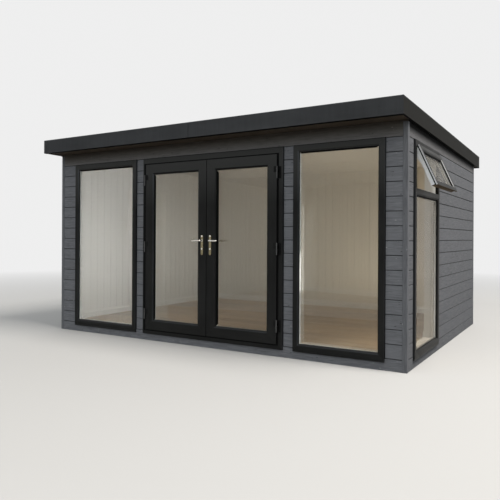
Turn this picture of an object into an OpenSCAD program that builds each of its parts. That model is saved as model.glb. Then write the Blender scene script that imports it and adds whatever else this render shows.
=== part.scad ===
// Garden office pod: a flat-roofed timber room with grey boards outside,
// full-height windows, outward-opening double doors and a side window
// with a top-hung vent that stands open.
// The origin is the centre of the base at ground level. The front faces -Y.

/* [Room] */
// Outside width over the boards
body_w = 4650; // [4300:10:5400]
// Outside depth over the boards
body_d = 3500; // [3000:10:4500]
// Thickness of the stud wall
wall_t = 110; // [80:1:160]
// Height of the base that the walls stand on
base_h = 78; // [60:1:100]
// Height of the front wall to the roof deck
wall_top = 2344; // [2320:1:2500]

/* [Boards] */
// Thickness of the outside boards
board_t = 22; // [18:1:30]
// Height of one course of boards
course_h = 138; // [130:0.5:140]
// Number of courses beside the windows
course_count = 15; // [12:1:15]
// Height of the plain board round the foot of the walls
plinth_h = 110; // [100:1:120]
// Width of the groove between two courses
groove_w = 6; // [3:1:10]
// Depth of the groove between two courses
groove_d = 6; // [3:1:10]
// Width of a corner trim on each face
corner_w = 45; // [35:1:80]
// How far a corner trim stands out of the boards
corner_proud = 3; // [1:1:6]

/* [Front layout] */
// Left corner to the left window
left_margin = 275; // [150:5:400]
// Width of the left window
left_window_w = 1065; // [700:5:1100]
// Width of each pier between window and doors
pier_w = 120; // [90:5:200]
// Width of the right window
right_window_w = 955; // [700:5:1100]
// Right corner to the right window
right_margin = 210; // [150:5:400]

/* [Frames] */
// How far the frames stand out of the boards
frame_proud = 20; // [5:1:30]
// Depth of a frame
frame_d = 70; // [60:1:80]
// Width of a frame's flat face
frame_face = 50; // [40:1:70]
// Width of the glazing bead beside the face
bead_w = 14; // [8:1:20]
// Height of the cill bar under a window frame
cill_h = 14; // [8:1:30]
// Thickness of a double-glazed unit
glass_t = 24; // [20:1:28]
// Gap between a glazed unit and its rebate
glass_gap = 1; // [0.5:0.5:3]
// Setback of the glass from the face
glass_back = 22; // [14:1:26]
// Depth of the rebate that holds the glass behind the bead
rebate_d = 11; // [8:1:12]
// Setback of a bead's sloping face at the glass
bead_slope = 10; // [6:1:12]

/* [Side window] */
// Front corner to the side window
side_window_from = 200; // [180:5:600]
// Width of the side window
side_window_w = 1010; // [700:5:1300]
// Height of the vent, frame head to transom
vent_h = 459; // [350:1:600]
// Height of the transom
transom_h = 59; // [50:1:90]
// Angle at which the vent stands open
vent_angle = 24; // [10:1:40]
// Depth of the vent sash
sash_d = 60; // [50:1:65]
// Width of the vent sash's flat face
sash_face = 42; // [36:1:60]
// Width of a stay's track and arm
stay_w = 16; // [10:1:20]
// Thickness of a stay's track and arm
stay_t = 1.6; // [1:0.1:1.8]
// Length of a stay's track
track_len = 300; // [200:5:320]
// Pivot on the jamb below the frame's head
jamb_pivot_drop = 60; // [40:5:120]
// Pivot on the sash below its top edge
sash_pivot_drop = 250; // [150:5:280]
// Depth of the pivot on the sash behind its face
sash_pivot_d = 38; // [30:1:45]
// Radius of a stay's rivets
rivet_r = 3; // [2:0.5:4]

/* [Doors] */
// Frame shown beside a door leaf
door_side_margin = 60; // [50:1:80]
// Frame shown above a door leaf
door_top_margin = 72; // [55:1:90]
// Frame shown below a door leaf
door_bottom_margin = 56; // [50:1:80]
// How far a leaf stands out of the door frame
leaf_proud = 20; // [19:1:25]
// Depth of a door leaf
leaf_d = 68; // [60:1:75]
// Width of a leaf's stiles and rails
leaf_face = 104; // [90:1:130]
// Setback of the glass from a leaf's face
leaf_glass_back = 25; // [20:1:26]
// Bevel that lets the meeting edge of a leaf swing past the other
leaf_bevel = 4.5; // [3:0.5:6]
// Gap between the two leaves
leaf_gap = 7; // [6:0.5:10]
// Width of the lip that laps over the frame
lip_w = 8; // [6:1:12]
// Thickness of the lip that laps over the frame
lip_t = 13; // [10:1:13]
// Gap between a leaf's edge and the frame
edge_gap = 6; // [5:0.5:8]
// Depth of the stop behind the leaves
stop_d = 16; // [10:1:20]
// Overlap of the stop behind the leaves
stop_lap = 14; // [8:1:20]

/* [Hinges] */
// Height of a hinge
hinge_h = 125; // [90:1:150]
// Radius of a hinge knuckle
knuckle_r = 7; // [6:0.5:8]
// Radius of a hinge pin
hinge_pin_r = 4; // [3:0.5:5]
// Clearance between a pin and its hole
pin_gap = 0.05; // [0.02:0.01:0.1]
// Gap between the two halves of a knuckle
knuckle_gap = 1; // [0.5:0.5:2]
// Hinge axis outside the leaf's edge
axis_side = 8; // [8:0.5:12]
// Hinge axis in front of the leaf's face
axis_front = 10; // [10:0.5:14]
// Thickness of a hinge's leaf plate
hinge_plate_t = 4; // [3:0.5:6]
// Width of a hinge's leaf plate
hinge_plate_w = 34; // [20:1:50]
// Height of the lowest hinge above the ground
hinge_low = 323; // [250:1:450]
// Height of the middle hinge above the ground
hinge_mid = 1125; // [900:1:1300]
// Height of the highest hinge above the ground
hinge_high = 1920; // [1700:1:1980]

/* [Handles] */
// Height of the levers above the ground
lever_h = 1203; // [950:1:1300]
// Length of a lever
lever_len = 108; // [100:1:150]
// Radius of a lever's grip
grip_r = 8; // [7:0.5:10]
// Radius of a lever's neck
neck_r = 9; // [8:0.5:12]
// Standing height of a lever above its plate
neck_len = 40; // [32:1:50]
// Radius of the bend from neck to grip
bend_r = 16; // [12:1:20]
// Width of a handle plate
plate_w = 32; // [28:1:40]
// Height of a handle plate
plate_h = 227; // [200:1:250]
// Thickness of a handle plate
plate_t = 8; // [5:1:10]
// Lever axis below the top of its plate
lever_drop = 65; // [40:1:90]
// Key cylinder below the lever
key_drop = 92; // [72:1:100]
// Radius of the key cylinder
key_r = 8.5; // [7:0.5:10]
// How far the key cylinder stands out of its plate
key_proud = 3; // [1:0.5:4]
// Radius of the spindle through the leaf
spindle_r = 4; // [3:0.5:5]
// Radius of the spindle's bore in the leaf
spindle_bore_r = 12; // [10:0.5:14]

/* [Roof] */
// Fall of the roof to the rear, degrees
roof_fall = 0.5; // [0:0.1:1]
// Overhang at the front and the rear
end_overhang = 270; // [150:5:400]
// Overhang at the sides
side_overhang = 35; // [34:1:80]
// Thickness of the insulated roof deck
deck_t = 140; // [120:1:180]
// Thickness of the roof membrane
membrane_t = 4; // [2:1:6]
// Height of the raised rim round the roof
rim_h = 8; // [5:1:20]
// Width of the raised rim round the roof
rim_w = 80; // [60:1:120]
// Thickness of the fascia
fascia_t = 20; // [15:1:24]
// Drop of the fascia below the deck
fascia_drop = 16; // [12:1:26]
// Thickness of the soffit board
soffit_t = 10; // [8:1:12]
// Height of the dark trim under the soffit
soffit_trim_h = 16; // [12:1:20]
// How far that trim stands out of the boards
soffit_trim_proud = 9; // [6:1:12]
// Clearance between the sloping roof and what meets it
bed_gap = 0.2; // [0.1:0.1:1]

/* [Inside] */
// Thickness of the wall and ceiling lining
lining_t = 10; // [8:1:15]
// Thickness of the floor deck inside the walls
floor_deck_t = 34; // [22:1:50]
// Thickness of the floor boards
floor_board_t = 12; // [8:1:20]
// Height of the skirting boards
skirting_h = 95; // [60:5:150]
// Thickness of the skirting boards
skirting_t = 15; // [12:1:20]
// Thickness of the boards that line the openings
reveal_t = 9; // [6:1:15]
// Expansion gap between like boards that meet at a corner
joint_gap = 1; // [0.5:0.5:3]

/* [Hidden] */
$fn = 48;
cut = 1;

front_y = -body_d / 2;
wall_x = body_w / 2 - board_t;
wall_y = body_d / 2 - board_t;
room_x = wall_x - wall_t;
room_y = wall_y - wall_t;
lined_x = room_x - lining_t;
lined_y = room_y - lining_t;
trim_x = body_w / 2 - corner_w;
trim_y = body_d / 2 - corner_w;

course_top = plinth_h + course_h * course_count;
opening_h = course_top - base_h;
floor_z = base_h + floor_deck_t;
floor_top = floor_z + floor_board_t;
sill_top = base_h + cill_h + frame_face;
soffit_low = soffit_t + soffit_trim_h;

left_window_x = -body_w / 2 + left_margin;
door_x = left_window_x + left_window_w + pier_w;
right_window_x = body_w / 2 - right_margin - right_window_w;
door_w = right_window_x - pier_w - door_x;
left_pier_x = left_window_x + left_window_w;
right_pier_x = door_x + door_w;
side_window_y = front_y + side_window_from;

// Each front opening as [left edge, width]
WINDOWS = [[left_window_x, left_window_w], [right_window_x, right_window_w]];
OPENINGS = concat(WINDOWS, [[door_x, door_w]]);

// The solid stretches of the front wall as [left edge, right edge]
POSTS = [
    [-wall_x, left_window_x], [left_pier_x, door_x],
    [right_pier_x, right_window_x], [right_window_x + right_window_w, wall_x]
];

deck_x = body_w / 2 + side_overhang - fascia_t;
deck_y = body_d / 2 + end_overhang - fascia_t;
roof_x = deck_x + fascia_t;
roof_y = deck_y + fascia_t;

// Frame sections as [inward, depth] points, with a groove for the glass
frame_in = frame_face + bead_w;
rebate_in = frame_in - rebate_d;
FRAME = [
    [0, 0], [frame_face, 0], [frame_in, bead_slope], [frame_in, glass_back], [rebate_in, glass_back],
    [rebate_in, glass_back + glass_t], [frame_in, glass_back + glass_t], [frame_in, frame_d - bead_slope],
    [frame_in - bead_slope, frame_d], [0, frame_d]
];

// Door leaf: the lip laps over the frame and the body stands inside it
leaf_w = (door_w - 2 * door_side_margin - leaf_gap) / 2;
leaf_h = opening_h - door_top_margin - door_bottom_margin;
leaf_z = base_h + door_bottom_margin;
leaf_y = front_y - frame_proud - leaf_proud;
leaf_in = leaf_face + bead_w;
leaf_rebate = leaf_in - rebate_d;
body_in = lip_w + edge_gap;
door_frame_face = door_side_margin + lip_w;
door_head_face = door_top_margin + lip_w;
door_foot_face = door_bottom_margin + lip_w;
stop_y = leaf_d - leaf_proud + edge_gap;
door_frame_d = stop_y + stop_d;

// Vent sash
vent_in = frame_face - lip_w;
sash_w = side_window_w - 2 * vent_in;
sash_h = vent_h - vent_in + lip_w;
sash_in = sash_face + bead_w;
sash_rebate = sash_in - rebate_d;
transom_z = opening_h - vent_h - transom_h;

HINGES = [hinge_low, hinge_mid, hinge_high];

lever_x = leaf_w - leaf_face / 2;

// Height of the roof deck's underside at a depth y
function roof_z(y) = wall_top - (y - front_y) * tan(roof_fall);

// A block between two corners
module block(low, high) {
    translate(low)
        cube(high - low);
}

// A [depth, height] outline drawn out from x0 to x1
module along_x(x0, x1, points) {
    translate([x0, 0, 0])
        rotate([90, 0, 90])
            linear_extrude(height = x1 - x0)
                polygon(points);
}

// A wall slab with a flat foot, whose top follows the roof
module wall_slab(x, y, foot, below = bed_gap) {
    along_x(x[0], x[1], [
        [y[0], foot], [y[1], foot],
        [y[1], roof_z(y[1]) - below], [y[0], roof_z(y[0]) - below]
    ]);
}

// A layer of the roof, parallel to the deck
module roof_layer(x, y, low, high) {
    along_x(x[0], x[1], [
        [y[0], roof_z(y[0]) + low], [y[1], roof_z(y[1]) + low],
        [y[1], roof_z(y[1]) + high], [y[0], roof_z(y[0]) + high]
    ]);
}

// Courses of boards with a groove under each, as a [height, thickness] outline
function course_points(k) = [
    [k * course_h, board_t - groove_d],
    [k * course_h + groove_w, board_t - groove_d],
    [k * course_h + groove_w, board_t],
    [(k + 1) * course_h, board_t]
];
COURSES = concat(
    [[0, 0]],
    [for (k = [0 : course_count - 1]) each course_points(k)],
    [[course_count * course_h, 0]]
);

// A stretch of boarding that starts at the origin, runs along +X and faces -Y
module boarding(length) {
    translate([length, 0, plinth_h])
        rotate([0, -90, 0])
            linear_extrude(height = length)
                polygon([for (p = COURSES) [p[0], -p[1]]]);
}

// Four bars round an opening, each with its own [inward, depth] section
module ring(w, h, left, right, bottom, top) {
    linear_extrude(height = h)
        polygon(left);
    translate([w, 0, 0])
        mirror([1, 0, 0])
            linear_extrude(height = h)
                polygon(right);
    level_bar(w, bottom);
    translate([0, 0, h])
        mirror([0, 0, 1])
            level_bar(w, top);
}

module level_bar(w, points) {
    rotate([0, 90, 0])
        linear_extrude(height = w)
            polygon([for (p = points) [-p[0], p[1]]]);
}

// A section moved inward by a distance
function inward(points, a) = [for (p = points) [p[0] + a, p[1]]];

module floor_base() {
    color("dimgray") {
        block([-wall_x, -wall_y, 0], [wall_x, wall_y, base_h]);
        block([-room_x, -room_y, base_h], [room_x, room_y, floor_z]);
        block(
            [door_x, front_y - frame_proud + door_frame_d, base_h],
            [door_x + door_w, -room_y + cut, floor_z]
        );
    }
}

module floor_boards() {
    color("peru") {
        block([-lined_x, -lined_y, floor_z], [lined_x, lined_y, floor_top]);
        block(
            [door_x + reveal_t, front_y - frame_proud + door_frame_d, floor_z],
            [door_x + door_w - reveal_t, -lined_y + cut, floor_top]
        );
    }
}

module plinth_boards() {
    color("dimgray") {
        difference() {
            block([-trim_x, front_y, 0], [trim_x, -wall_y, plinth_h]);
            for (o = OPENINGS)
                block([o[0], front_y - cut, base_h], [o[0] + o[1], -wall_y + cut, plinth_h + cut]);
        }
        block([-trim_x, wall_y, 0], [trim_x, wall_y + board_t, plinth_h]);
        block([-wall_x - board_t, -trim_y, 0], [-wall_x, trim_y, plinth_h]);
        difference() {
            block([wall_x, -trim_y, 0], [wall_x + board_t, trim_y, plinth_h]);
            block(
                [wall_x - cut, side_window_y, base_h],
                [wall_x + board_t + cut, side_window_y + side_window_w, plinth_h + cut]
            );
        }
    }
}

module front_wall_posts() {
    color("tan")
        for (p = POSTS)
            block([p[0], -wall_y, base_h], [p[1], -room_y, course_top]);
}

module front_wall_header() {
    color("tan")
        wall_slab([-wall_x, wall_x], [-wall_y, -room_y], course_top);
}

module left_wall() {
    color("tan")
        wall_slab([-wall_x, -room_x], [-room_y, room_y], base_h);
}

module right_wall() {
    color("tan") {
        wall_slab([room_x, wall_x], [-room_y, side_window_y], base_h);
        wall_slab([room_x, wall_x], [side_window_y + side_window_w, room_y], base_h);
    }
}

module right_wall_header() {
    color("tan")
        wall_slab([room_x, wall_x], [side_window_y, side_window_y + side_window_w], course_top);
}

module rear_wall() {
    color("tan")
        wall_slab([-wall_x, wall_x], [room_y, wall_y], base_h);
}

module front_cladding() {
    color("slategray")
        for (p = POSTS)
            translate([max(p[0], -trim_x), -wall_y, 0])
                boarding(min(p[1], trim_x) - max(p[0], -trim_x));
}

module left_cladding() {
    color("slategray")
        translate([-wall_x, trim_y, 0])
            rotate([0, 0, -90])
                boarding(2 * trim_y);
}

module right_cladding() {
    color("slategray")
        for (s = [[-trim_y, side_window_y], [side_window_y + side_window_w, trim_y]])
            translate([wall_x, s[0], 0])
                rotate([0, 0, 90])
                    boarding(s[1] - s[0]);
}

module rear_cladding() {
    color("slategray")
        translate([trim_x, wall_y, 0])
            rotate([0, 0, 180])
                boarding(2 * trim_x);
}

// One corner trim, drawn for the rear right corner of the walls
module corner_angle(h) {
    linear_extrude(height = h)
        polygon([
            [trim_x, wall_y], [trim_x, wall_y + board_t + corner_proud],
            [wall_x + board_t + corner_proud, wall_y + board_t + corner_proud],
            [wall_x + board_t + corner_proud, trim_y], [wall_x, trim_y], [wall_x, wall_y]
        ]);
}

module corner_trims() {
    below = soffit_low + bed_gap;
    color("dimgray")
        for (side = [0, 1])
            mirror([side, 0, 0]) {
                corner_angle(roof_z(body_d / 2 + corner_proud) - below);
                mirror([0, 1, 0])
                    corner_angle(roof_z(-trim_y) - below);
            }
}

// The top board of each wall, with a groove under it like the courses'
module frieze_boards() {
    color("slategray")
        for (lift = [[0, groove_d], [groove_w, 0]]) {
            foot = course_top + lift[0];
            out = board_t - lift[1];
            below = soffit_low + bed_gap;
            wall_slab([-trim_x, trim_x], [-wall_y - out, -wall_y], foot, below);
            wall_slab([-trim_x, trim_x], [wall_y, wall_y + out], foot, below);
            for (side = [0, 1])
                mirror([side, 0, 0])
                    wall_slab([wall_x, wall_x + out], [-trim_y, trim_y], foot, below);
        }
}

module roof_deck() {
    color("burlywood")
        roof_layer([-deck_x, deck_x], [-deck_y, deck_y], 0, deck_t);
}

module roof_covering() {
    fascia_top = deck_t + membrane_t;
    color("darkslategray")
        difference() {
            union() {
                roof_layer([-deck_x, deck_x], [-deck_y, deck_y], deck_t, fascia_top + rim_h);
                roof_layer([-roof_x, roof_x], [-roof_y, roof_y], fascia_top, fascia_top + rim_h);
            }
            roof_layer(
                [-roof_x + rim_w, roof_x - rim_w], [-roof_y + rim_w, roof_y - rim_w],
                fascia_top, fascia_top + rim_h + cut
            );
        }
}

module soffit() {
    trim_out = board_t + soffit_trim_proud;
    inner_y = wall_y - joint_gap;
    color("black")
        for (side = [0, 1]) {
            roof_layer(
                [-deck_x, deck_x],
                side == 0 ? [-deck_y, -wall_y] : [wall_y, deck_y],
                -soffit_t, -bed_gap
            );
            roof_layer(
                [-wall_x - trim_out, wall_x + trim_out],
                side == 0 ? [-wall_y - trim_out, -wall_y] : [wall_y, wall_y + trim_out],
                -soffit_low, -bed_gap
            );
            mirror([side, 0, 0]) {
                roof_layer([wall_x, deck_x], [-inner_y, inner_y], -soffit_t, -bed_gap);
                roof_layer([wall_x, wall_x + trim_out], [-inner_y, inner_y], -soffit_low, -bed_gap);
            }
        }
}

// A stretch of fascia, whose top edge carries the roof covering
module fascia(x, y) {
    roof_layer(x, y, -fascia_drop, deck_t + membrane_t - bed_gap);
}

// Two equal lengths that meet in the middle
module front_fascia() {
    color("darkslategray")
        for (x = [[-roof_x, -joint_gap / 2], [joint_gap / 2, roof_x]])
            fascia(x, [-roof_y, -deck_y]);
}

module rear_fascia() {
    color("darkslategray")
        for (x = [[-roof_x, -joint_gap / 2], [joint_gap / 2, roof_x]])
            fascia(x, [deck_y, roof_y]);
}

module side_fascias() {
    color("darkslategray")
        for (side = [0, 1])
            mirror([side, 0, 0])
                fascia([deck_x, roof_x], [-deck_y, deck_y]);
}

module front_lining() {
    color("white")
        difference() {
            wall_slab([-lined_x, lined_x], [-room_y, -lined_y], floor_z, lining_t + bed_gap);
            for (o = WINDOWS)
                block(
                    [o[0] + reveal_t, -room_y - cut, sill_top],
                    [o[0] + o[1] - reveal_t, -lined_y + cut, course_top - reveal_t]
                );
            block(
                [door_x + reveal_t, -room_y - cut, floor_z - cut],
                [door_x + door_w - reveal_t, -lined_y + cut, course_top - reveal_t]
            );
        }
}

module side_linings() {
    color("white") {
        wall_slab([-room_x, -lined_x], [-room_y, room_y], floor_z, lining_t + bed_gap);
        difference() {
            wall_slab([lined_x, room_x], [-room_y, room_y], floor_z, lining_t + bed_gap);
            block(
                [lined_x - cut, side_window_y + reveal_t, sill_top],
                [room_x + cut, side_window_y + side_window_w - reveal_t, course_top - reveal_t]
            );
        }
    }
}

module rear_lining() {
    color("white")
        wall_slab([-lined_x, lined_x], [lined_y, room_y], floor_z, lining_t + bed_gap);
}

module ceiling_lining() {
    color("white")
        roof_layer([-room_x, room_x], [-room_y, room_y], -lining_t, -bed_gap);
}

module skirting_boards() {
    inner_x = lined_x - skirting_t;
    inner_y = lined_y - skirting_t;
    top = floor_top + skirting_h;
    color("white") {
        block([-lined_x, inner_y, floor_top], [lined_x, lined_y, top]);
        block([-lined_x, -inner_y, floor_top], [-inner_x, inner_y - joint_gap, top]);
        block([inner_x, side_window_y + side_window_w, floor_top], [lined_x, inner_y - joint_gap, top]);
        for (p = POSTS)
            block(
                [max(p[0], -lined_x), -lined_y, floor_top],
                [min(p[1], lined_x), -inner_y - joint_gap, top]
            );
    }
}

// Boards round an opening of the front wall, from the frame to the lining
module reveal(w, deep, with_sill) {
    foot = with_sill ? base_h : floor_z;
    block([0, 0, foot], [reveal_t, deep, course_top]);
    block([w - reveal_t, 0, foot], [w, deep, course_top]);
    block([reveal_t - cut, 0, course_top - reveal_t], [w - reveal_t + cut, deep, course_top]);
    if (with_sill)
        block([reveal_t - cut, 0, base_h], [w - reveal_t + cut, deep, sill_top]);
}

module window_reveals() {
    frame_back = frame_d - frame_proud;
    door_back = door_frame_d - frame_proud;
    wall_in = board_t + wall_t;
    deep = wall_in - frame_back;
    color("white") {
        for (o = WINDOWS)
            translate([o[0], front_y + frame_back, 0])
                reveal(o[1], deep, true);
        translate([door_x, front_y + door_back, 0])
            reveal(door_w, wall_in - door_back, false);
        translate([body_w / 2 - frame_back, side_window_y, 0])
            rotate([0, 0, 90])
                reveal(side_window_w, deep, true);
    }
}

// A fixed frame with its cill bar, standing at the origin and facing -Y
module fixed_frame(w) {
    block([0, 0, 0], [w, frame_d, cill_h]);
    translate([0, 0, cill_h])
        ring(w, opening_h - cill_h, FRAME, FRAME, FRAME, FRAME);
}

// The glazed unit of an opening, held in the rebate of its frame
module pane(w, h, rebate, back) {
    edge = rebate + glass_gap;
    block([edge, back, edge], [w - edge, back + glass_t, h - edge]);
}

module front_window_frames() {
    color("darkslategray")
        for (o = WINDOWS)
            translate([o[0], front_y - frame_proud, base_h])
                fixed_frame(o[1]);
}

module front_window_glass() {
    color("lightblue", 0.4)
        for (o = WINDOWS)
            translate([o[0], front_y - frame_proud, base_h + cill_h])
                pane(o[1], opening_h - cill_h, rebate_in, glass_back);
}

// Turns and moves a piece to the side window's place
module at_side_window() {
    translate([body_w / 2 + frame_proud, side_window_y, base_h])
        rotate([0, 0, 90])
            children();
}

// The lower part of the side window is fixed and the part above it is open
module side_window_frame() {
    lower_h = transom_z + frame_in - cill_h;
    OPEN = [[0, 0], [frame_face, 0], [frame_face, frame_d], [0, frame_d]];
    color("darkslategray")
        at_side_window() {
            block([0, 0, 0], [side_window_w, frame_d, cill_h]);
            translate([0, 0, cill_h])
                difference() {
                    ring(side_window_w, lower_h, FRAME, FRAME, FRAME, FRAME);
                    block(
                        [-cut, -cut, transom_z - cill_h + transom_h],
                        [side_window_w + cut, frame_d + cut, lower_h + cut]
                    );
                }
            translate([0, 0, transom_z])
                difference() {
                    ring(side_window_w, opening_h - transom_z, OPEN, OPEN, OPEN, OPEN);
                    block(
                        [frame_face, -cut, -cut],
                        [side_window_w - frame_face, frame_d + cut, transom_h / 2]
                    );
                }
            block(
                [frame_face, 0, transom_z + frame_in - frame_face],
                [side_window_w - frame_face, frame_d, transom_z + transom_h]
            );
        }
}

module side_window_glass() {
    lower_h = transom_z + frame_in - cill_h;
    color("lightblue", 0.4) {
        at_side_window()
            translate([0, 0, cill_h])
                pane(side_window_w, lower_h, rebate_in, glass_back);
        at_vent()
            pane(sash_w, sash_h, sash_rebate, glass_back);
    }
}

// Turns a piece about the vent's top edge to the angle at which it stands open
module at_vent() {
    at_side_window()
        translate([vent_in, -leaf_proud, opening_h - vent_in])
            rotate([-vent_angle, 0, 0])
                translate([0, 0, -sash_h])
                    children();
}

module vent_sash() {
    FACE = [[0, 0], [sash_face, 0], [sash_in, bead_slope], [sash_in, lip_t], [0, lip_t]];
    BODY = [
        [0, lip_t], [sash_in - body_in, lip_t],
        [sash_in - body_in, glass_back], [sash_rebate - body_in, glass_back],
        [sash_rebate - body_in, glass_back + glass_t], [sash_in - body_in, glass_back + glass_t],
        [sash_in - body_in, sash_d], [0, sash_d]
    ];
    color("darkslategray")
        at_vent() {
            ring(sash_w, sash_h, FACE, FACE, FACE, FACE);
            translate([body_in, 0, body_in])
                ring(sash_w - 2 * body_in, sash_h - 2 * body_in, BODY, BODY, BODY, BODY);
        }
}

// Where a point of the sash comes when the vent stands open, from its depth
// behind the face and its distance below the top edge, as [depth, height]
function swung(depth, drop) = [
    depth * cos(vent_angle) - drop * sin(vent_angle) - leaf_proud,
    opening_h - vent_in - depth * sin(vent_angle) - drop * cos(vent_angle)
];

// A flat bar with round ends between two [depth, height] points
module link(from, to, length) {
    run = to - from;
    translate([0, from[0], from[1]])
        rotate([atan2(run[1], run[0]), 0, 0])
            rotate([0, 90, 0])
                linear_extrude(height = length) {
                    circle(r = stay_w / 2);
                    translate([-stay_w / 2, 0])
                        square([stay_w, norm(run)]);
                    translate([0, norm(run)])
                        circle(r = stay_w / 2);
                }
}

// A rivet along X at a [depth, height] point
module rivet(at, length) {
    translate([0, at[0], at[1]])
        rotate([0, 90, 0])
            cylinder(h = length, r = rivet_r);
}

// A stay: a track on the jamb, a strip on the sash and an arm between them
module stay() {
    jamb_pivot = [frame_d / 2, opening_h - frame_face - jamb_pivot_drop];
    sash_pivot = swung(sash_pivot_d, sash_pivot_drop);
    track_end = jamb_pivot - [0, track_len - jamb_pivot_drop];
    stay_gap = (edge_gap - 3 * stay_t) / 4;
    translate([stay_gap, 0, 0])
        link(jamb_pivot + [0, jamb_pivot_drop / 2], track_end, stay_t);
    translate([2 * stay_gap + stay_t, 0, 0])
        link(jamb_pivot, sash_pivot, stay_t);
    translate([edge_gap - stay_gap - stay_t, 0, 0])
        link(swung(sash_pivot_d, jamb_pivot_drop), sash_pivot, stay_t);
    translate([stay_gap, 0, 0]) {
        rivet(jamb_pivot, 2 * stay_t + stay_gap);
        translate([stay_t + stay_gap, 0, 0])
            rivet(sash_pivot, 2 * stay_t + stay_gap);
    }
}

module vent_stays() {
    color("silver")
        at_side_window() {
            translate([frame_face, 0, 0])
                stay();
            translate([side_window_w - frame_face, 0, 0])
                mirror([1, 0, 0])
                    stay();
        }
}

// Door frame section: a flat face with the leaves' stop behind it
function jamb(face) = [
    [0, 0], [face, 0], [face, stop_y], [face + stop_lap + edge_gap, stop_y],
    [face + stop_lap + edge_gap, door_frame_d], [0, door_frame_d]
];

module door_frame() {
    color("darkslategray")
        translate([door_x, front_y - frame_proud, base_h])
            ring(
                door_w, opening_h,
                jamb(door_frame_face), jamb(door_frame_face), jamb(door_foot_face), jamb(door_head_face)
            );
}

// The left leaf, standing at its own lower left corner and facing -Y
module leaf() {
    FACE = [[0, 0], [leaf_face, 0], [leaf_in, bead_slope], [leaf_in, lip_t], [0, lip_t]];
    BODY = [
        [body_in, lip_t], [leaf_in, lip_t], [leaf_in, leaf_glass_back], [leaf_rebate, leaf_glass_back],
        [leaf_rebate, leaf_glass_back + glass_t], [leaf_in, leaf_glass_back + glass_t],
        [leaf_in, leaf_d - bead_slope], [leaf_in - bead_slope, leaf_d], [body_in, leaf_d]
    ];
    SHIFTED = inward(BODY, -body_in);
    FREE = concat([[0, lip_t]], [for (i = [1 : len(BODY) - 2]) BODY[i]], [[0, leaf_d]]);
    difference() {
        union() {
            ring(leaf_w, leaf_h, FACE, FACE, FACE, FACE);
            translate([body_in, 0, body_in])
                ring(leaf_w - body_in, leaf_h - 2 * body_in, SHIFTED, FREE, SHIFTED, SHIFTED);
        }
        translate([0, 0, -cut])
            linear_extrude(height = leaf_h + 2 * cut)
                polygon([
                    [leaf_w, 0], [leaf_w + cut, 0],
                    [leaf_w + cut, leaf_d + cut], [leaf_w - leaf_bevel, leaf_d + cut]
                ]);
        translate([lever_x, leaf_d / 2, lever_h - leaf_z])
            rotate([90, 0, 0])
                cylinder(h = leaf_d + 2 * cut, r = spindle_bore_r, center = true);
    }
}

// Stands a left-hand piece at the left leaf, or mirrors it to the right leaf
module at_leaf(hand) {
    left_edge = door_x + door_side_margin;
    right_edge = door_x + door_w - door_side_margin;
    translate([hand == "left" ? left_edge : right_edge, leaf_y, leaf_z])
        mirror([hand == "left" ? 0 : 1, 0, 0])
            children();
}

// The half of each hinge on the frame, with its pin
module frame_hinges() {
    half = (hinge_h - knuckle_gap) / 2;
    frame_back = axis_front + leaf_proud;
    for (z = HINGES)
        translate([-axis_side, -axis_front, z - leaf_z - hinge_h / 2]) {
            cylinder(h = half, r = knuckle_r);
            cylinder(h = hinge_h - hinge_plate_t, r = hinge_pin_r);
            block([-knuckle_r, 0, 0], [axis_side - edge_gap, frame_back, half]);
            block([-hinge_plate_w, frame_back - hinge_plate_t, 0], [0, frame_back, hinge_h]);
        }
}

// The half of each hinge on the leaf, bored for the pin
module leaf_hinges() {
    half = (hinge_h - knuckle_gap) / 2;
    for (z = HINGES)
        translate([-axis_side, -axis_front, z - leaf_z + hinge_h / 2 - half])
            difference() {
                union() {
                    cylinder(h = half, r = knuckle_r);
                    block(
                        [0, axis_front - hinge_plate_t, 0],
                        [axis_side + hinge_plate_w, axis_front, half]
                    );
                    block([0, 0, 0], [knuckle_r, axis_front, half]);
                }
                translate([0, 0, -cut])
                    cylinder(h = half + 2 * cut, r = hinge_pin_r + pin_gap);
            }
}

// A long plate with round ends, its lever hole and its key cylinder
module handle_plate() {
    low = plate_w / 2 - plate_h + lever_drop;
    high = lever_drop - plate_w / 2;
    rotate([90, 0, 0])
        difference() {
            union() {
                linear_extrude(height = plate_t) {
                    translate([0, low])
                        circle(r = plate_w / 2);
                    translate([0, high])
                        circle(r = plate_w / 2);
                    translate([-plate_w / 2, low])
                        square([plate_w, high - low]);
                }
                translate([0, -key_drop, 0])
                    cylinder(h = plate_t + key_proud, r = key_r);
            }
            translate([0, 0, -cut])
                cylinder(h = plate_t + 2 * cut, r = neck_r + pin_gap);
        }
}

// Puts a piece on the leaf's outer face and again on its inner face
module on_both_faces() {
    translate([lever_x, 0, lever_h - leaf_z])
        children();
    translate([lever_x, leaf_d, lever_h - leaf_z])
        mirror([0, 1, 0])
            children();
}

// Neck, bend and grip of a lever that points to -X
module lever_arm() {
    reach = plate_t + neck_len;
    rotate([90, 0, 0])
        cylinder(h = reach - bend_r, r = neck_r);
    translate([-bend_r, -reach + bend_r, 0])
        rotate([0, 0, -90])
            rotate_extrude(angle = 90)
                translate([bend_r, 0])
                    circle(r = grip_r);
    translate([-bend_r, -reach, 0])
        rotate([0, -90, 0])
            cylinder(h = lever_len - bend_r, r = grip_r);
    translate([-lever_len, -reach, 0])
        sphere(r = grip_r);
}

module levers() {
    on_both_faces()
        lever_arm();
    translate([lever_x, leaf_d / 2, lever_h - leaf_z])
        rotate([90, 0, 0])
            cylinder(h = leaf_d + 2 * cut, r = spindle_r, center = true);
}

module door_frame_hinges() {
    color("black") {
        at_leaf("left")
            frame_hinges();
        at_leaf("right")
            frame_hinges();
    }
}

module left_door_leaf() {
    color("darkslategray")
        at_leaf("left")
            leaf();
}

module left_door_glass() {
    color("lightblue", 0.4)
        at_leaf("left")
            pane(leaf_w, leaf_h, leaf_rebate, leaf_glass_back);
}

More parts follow.
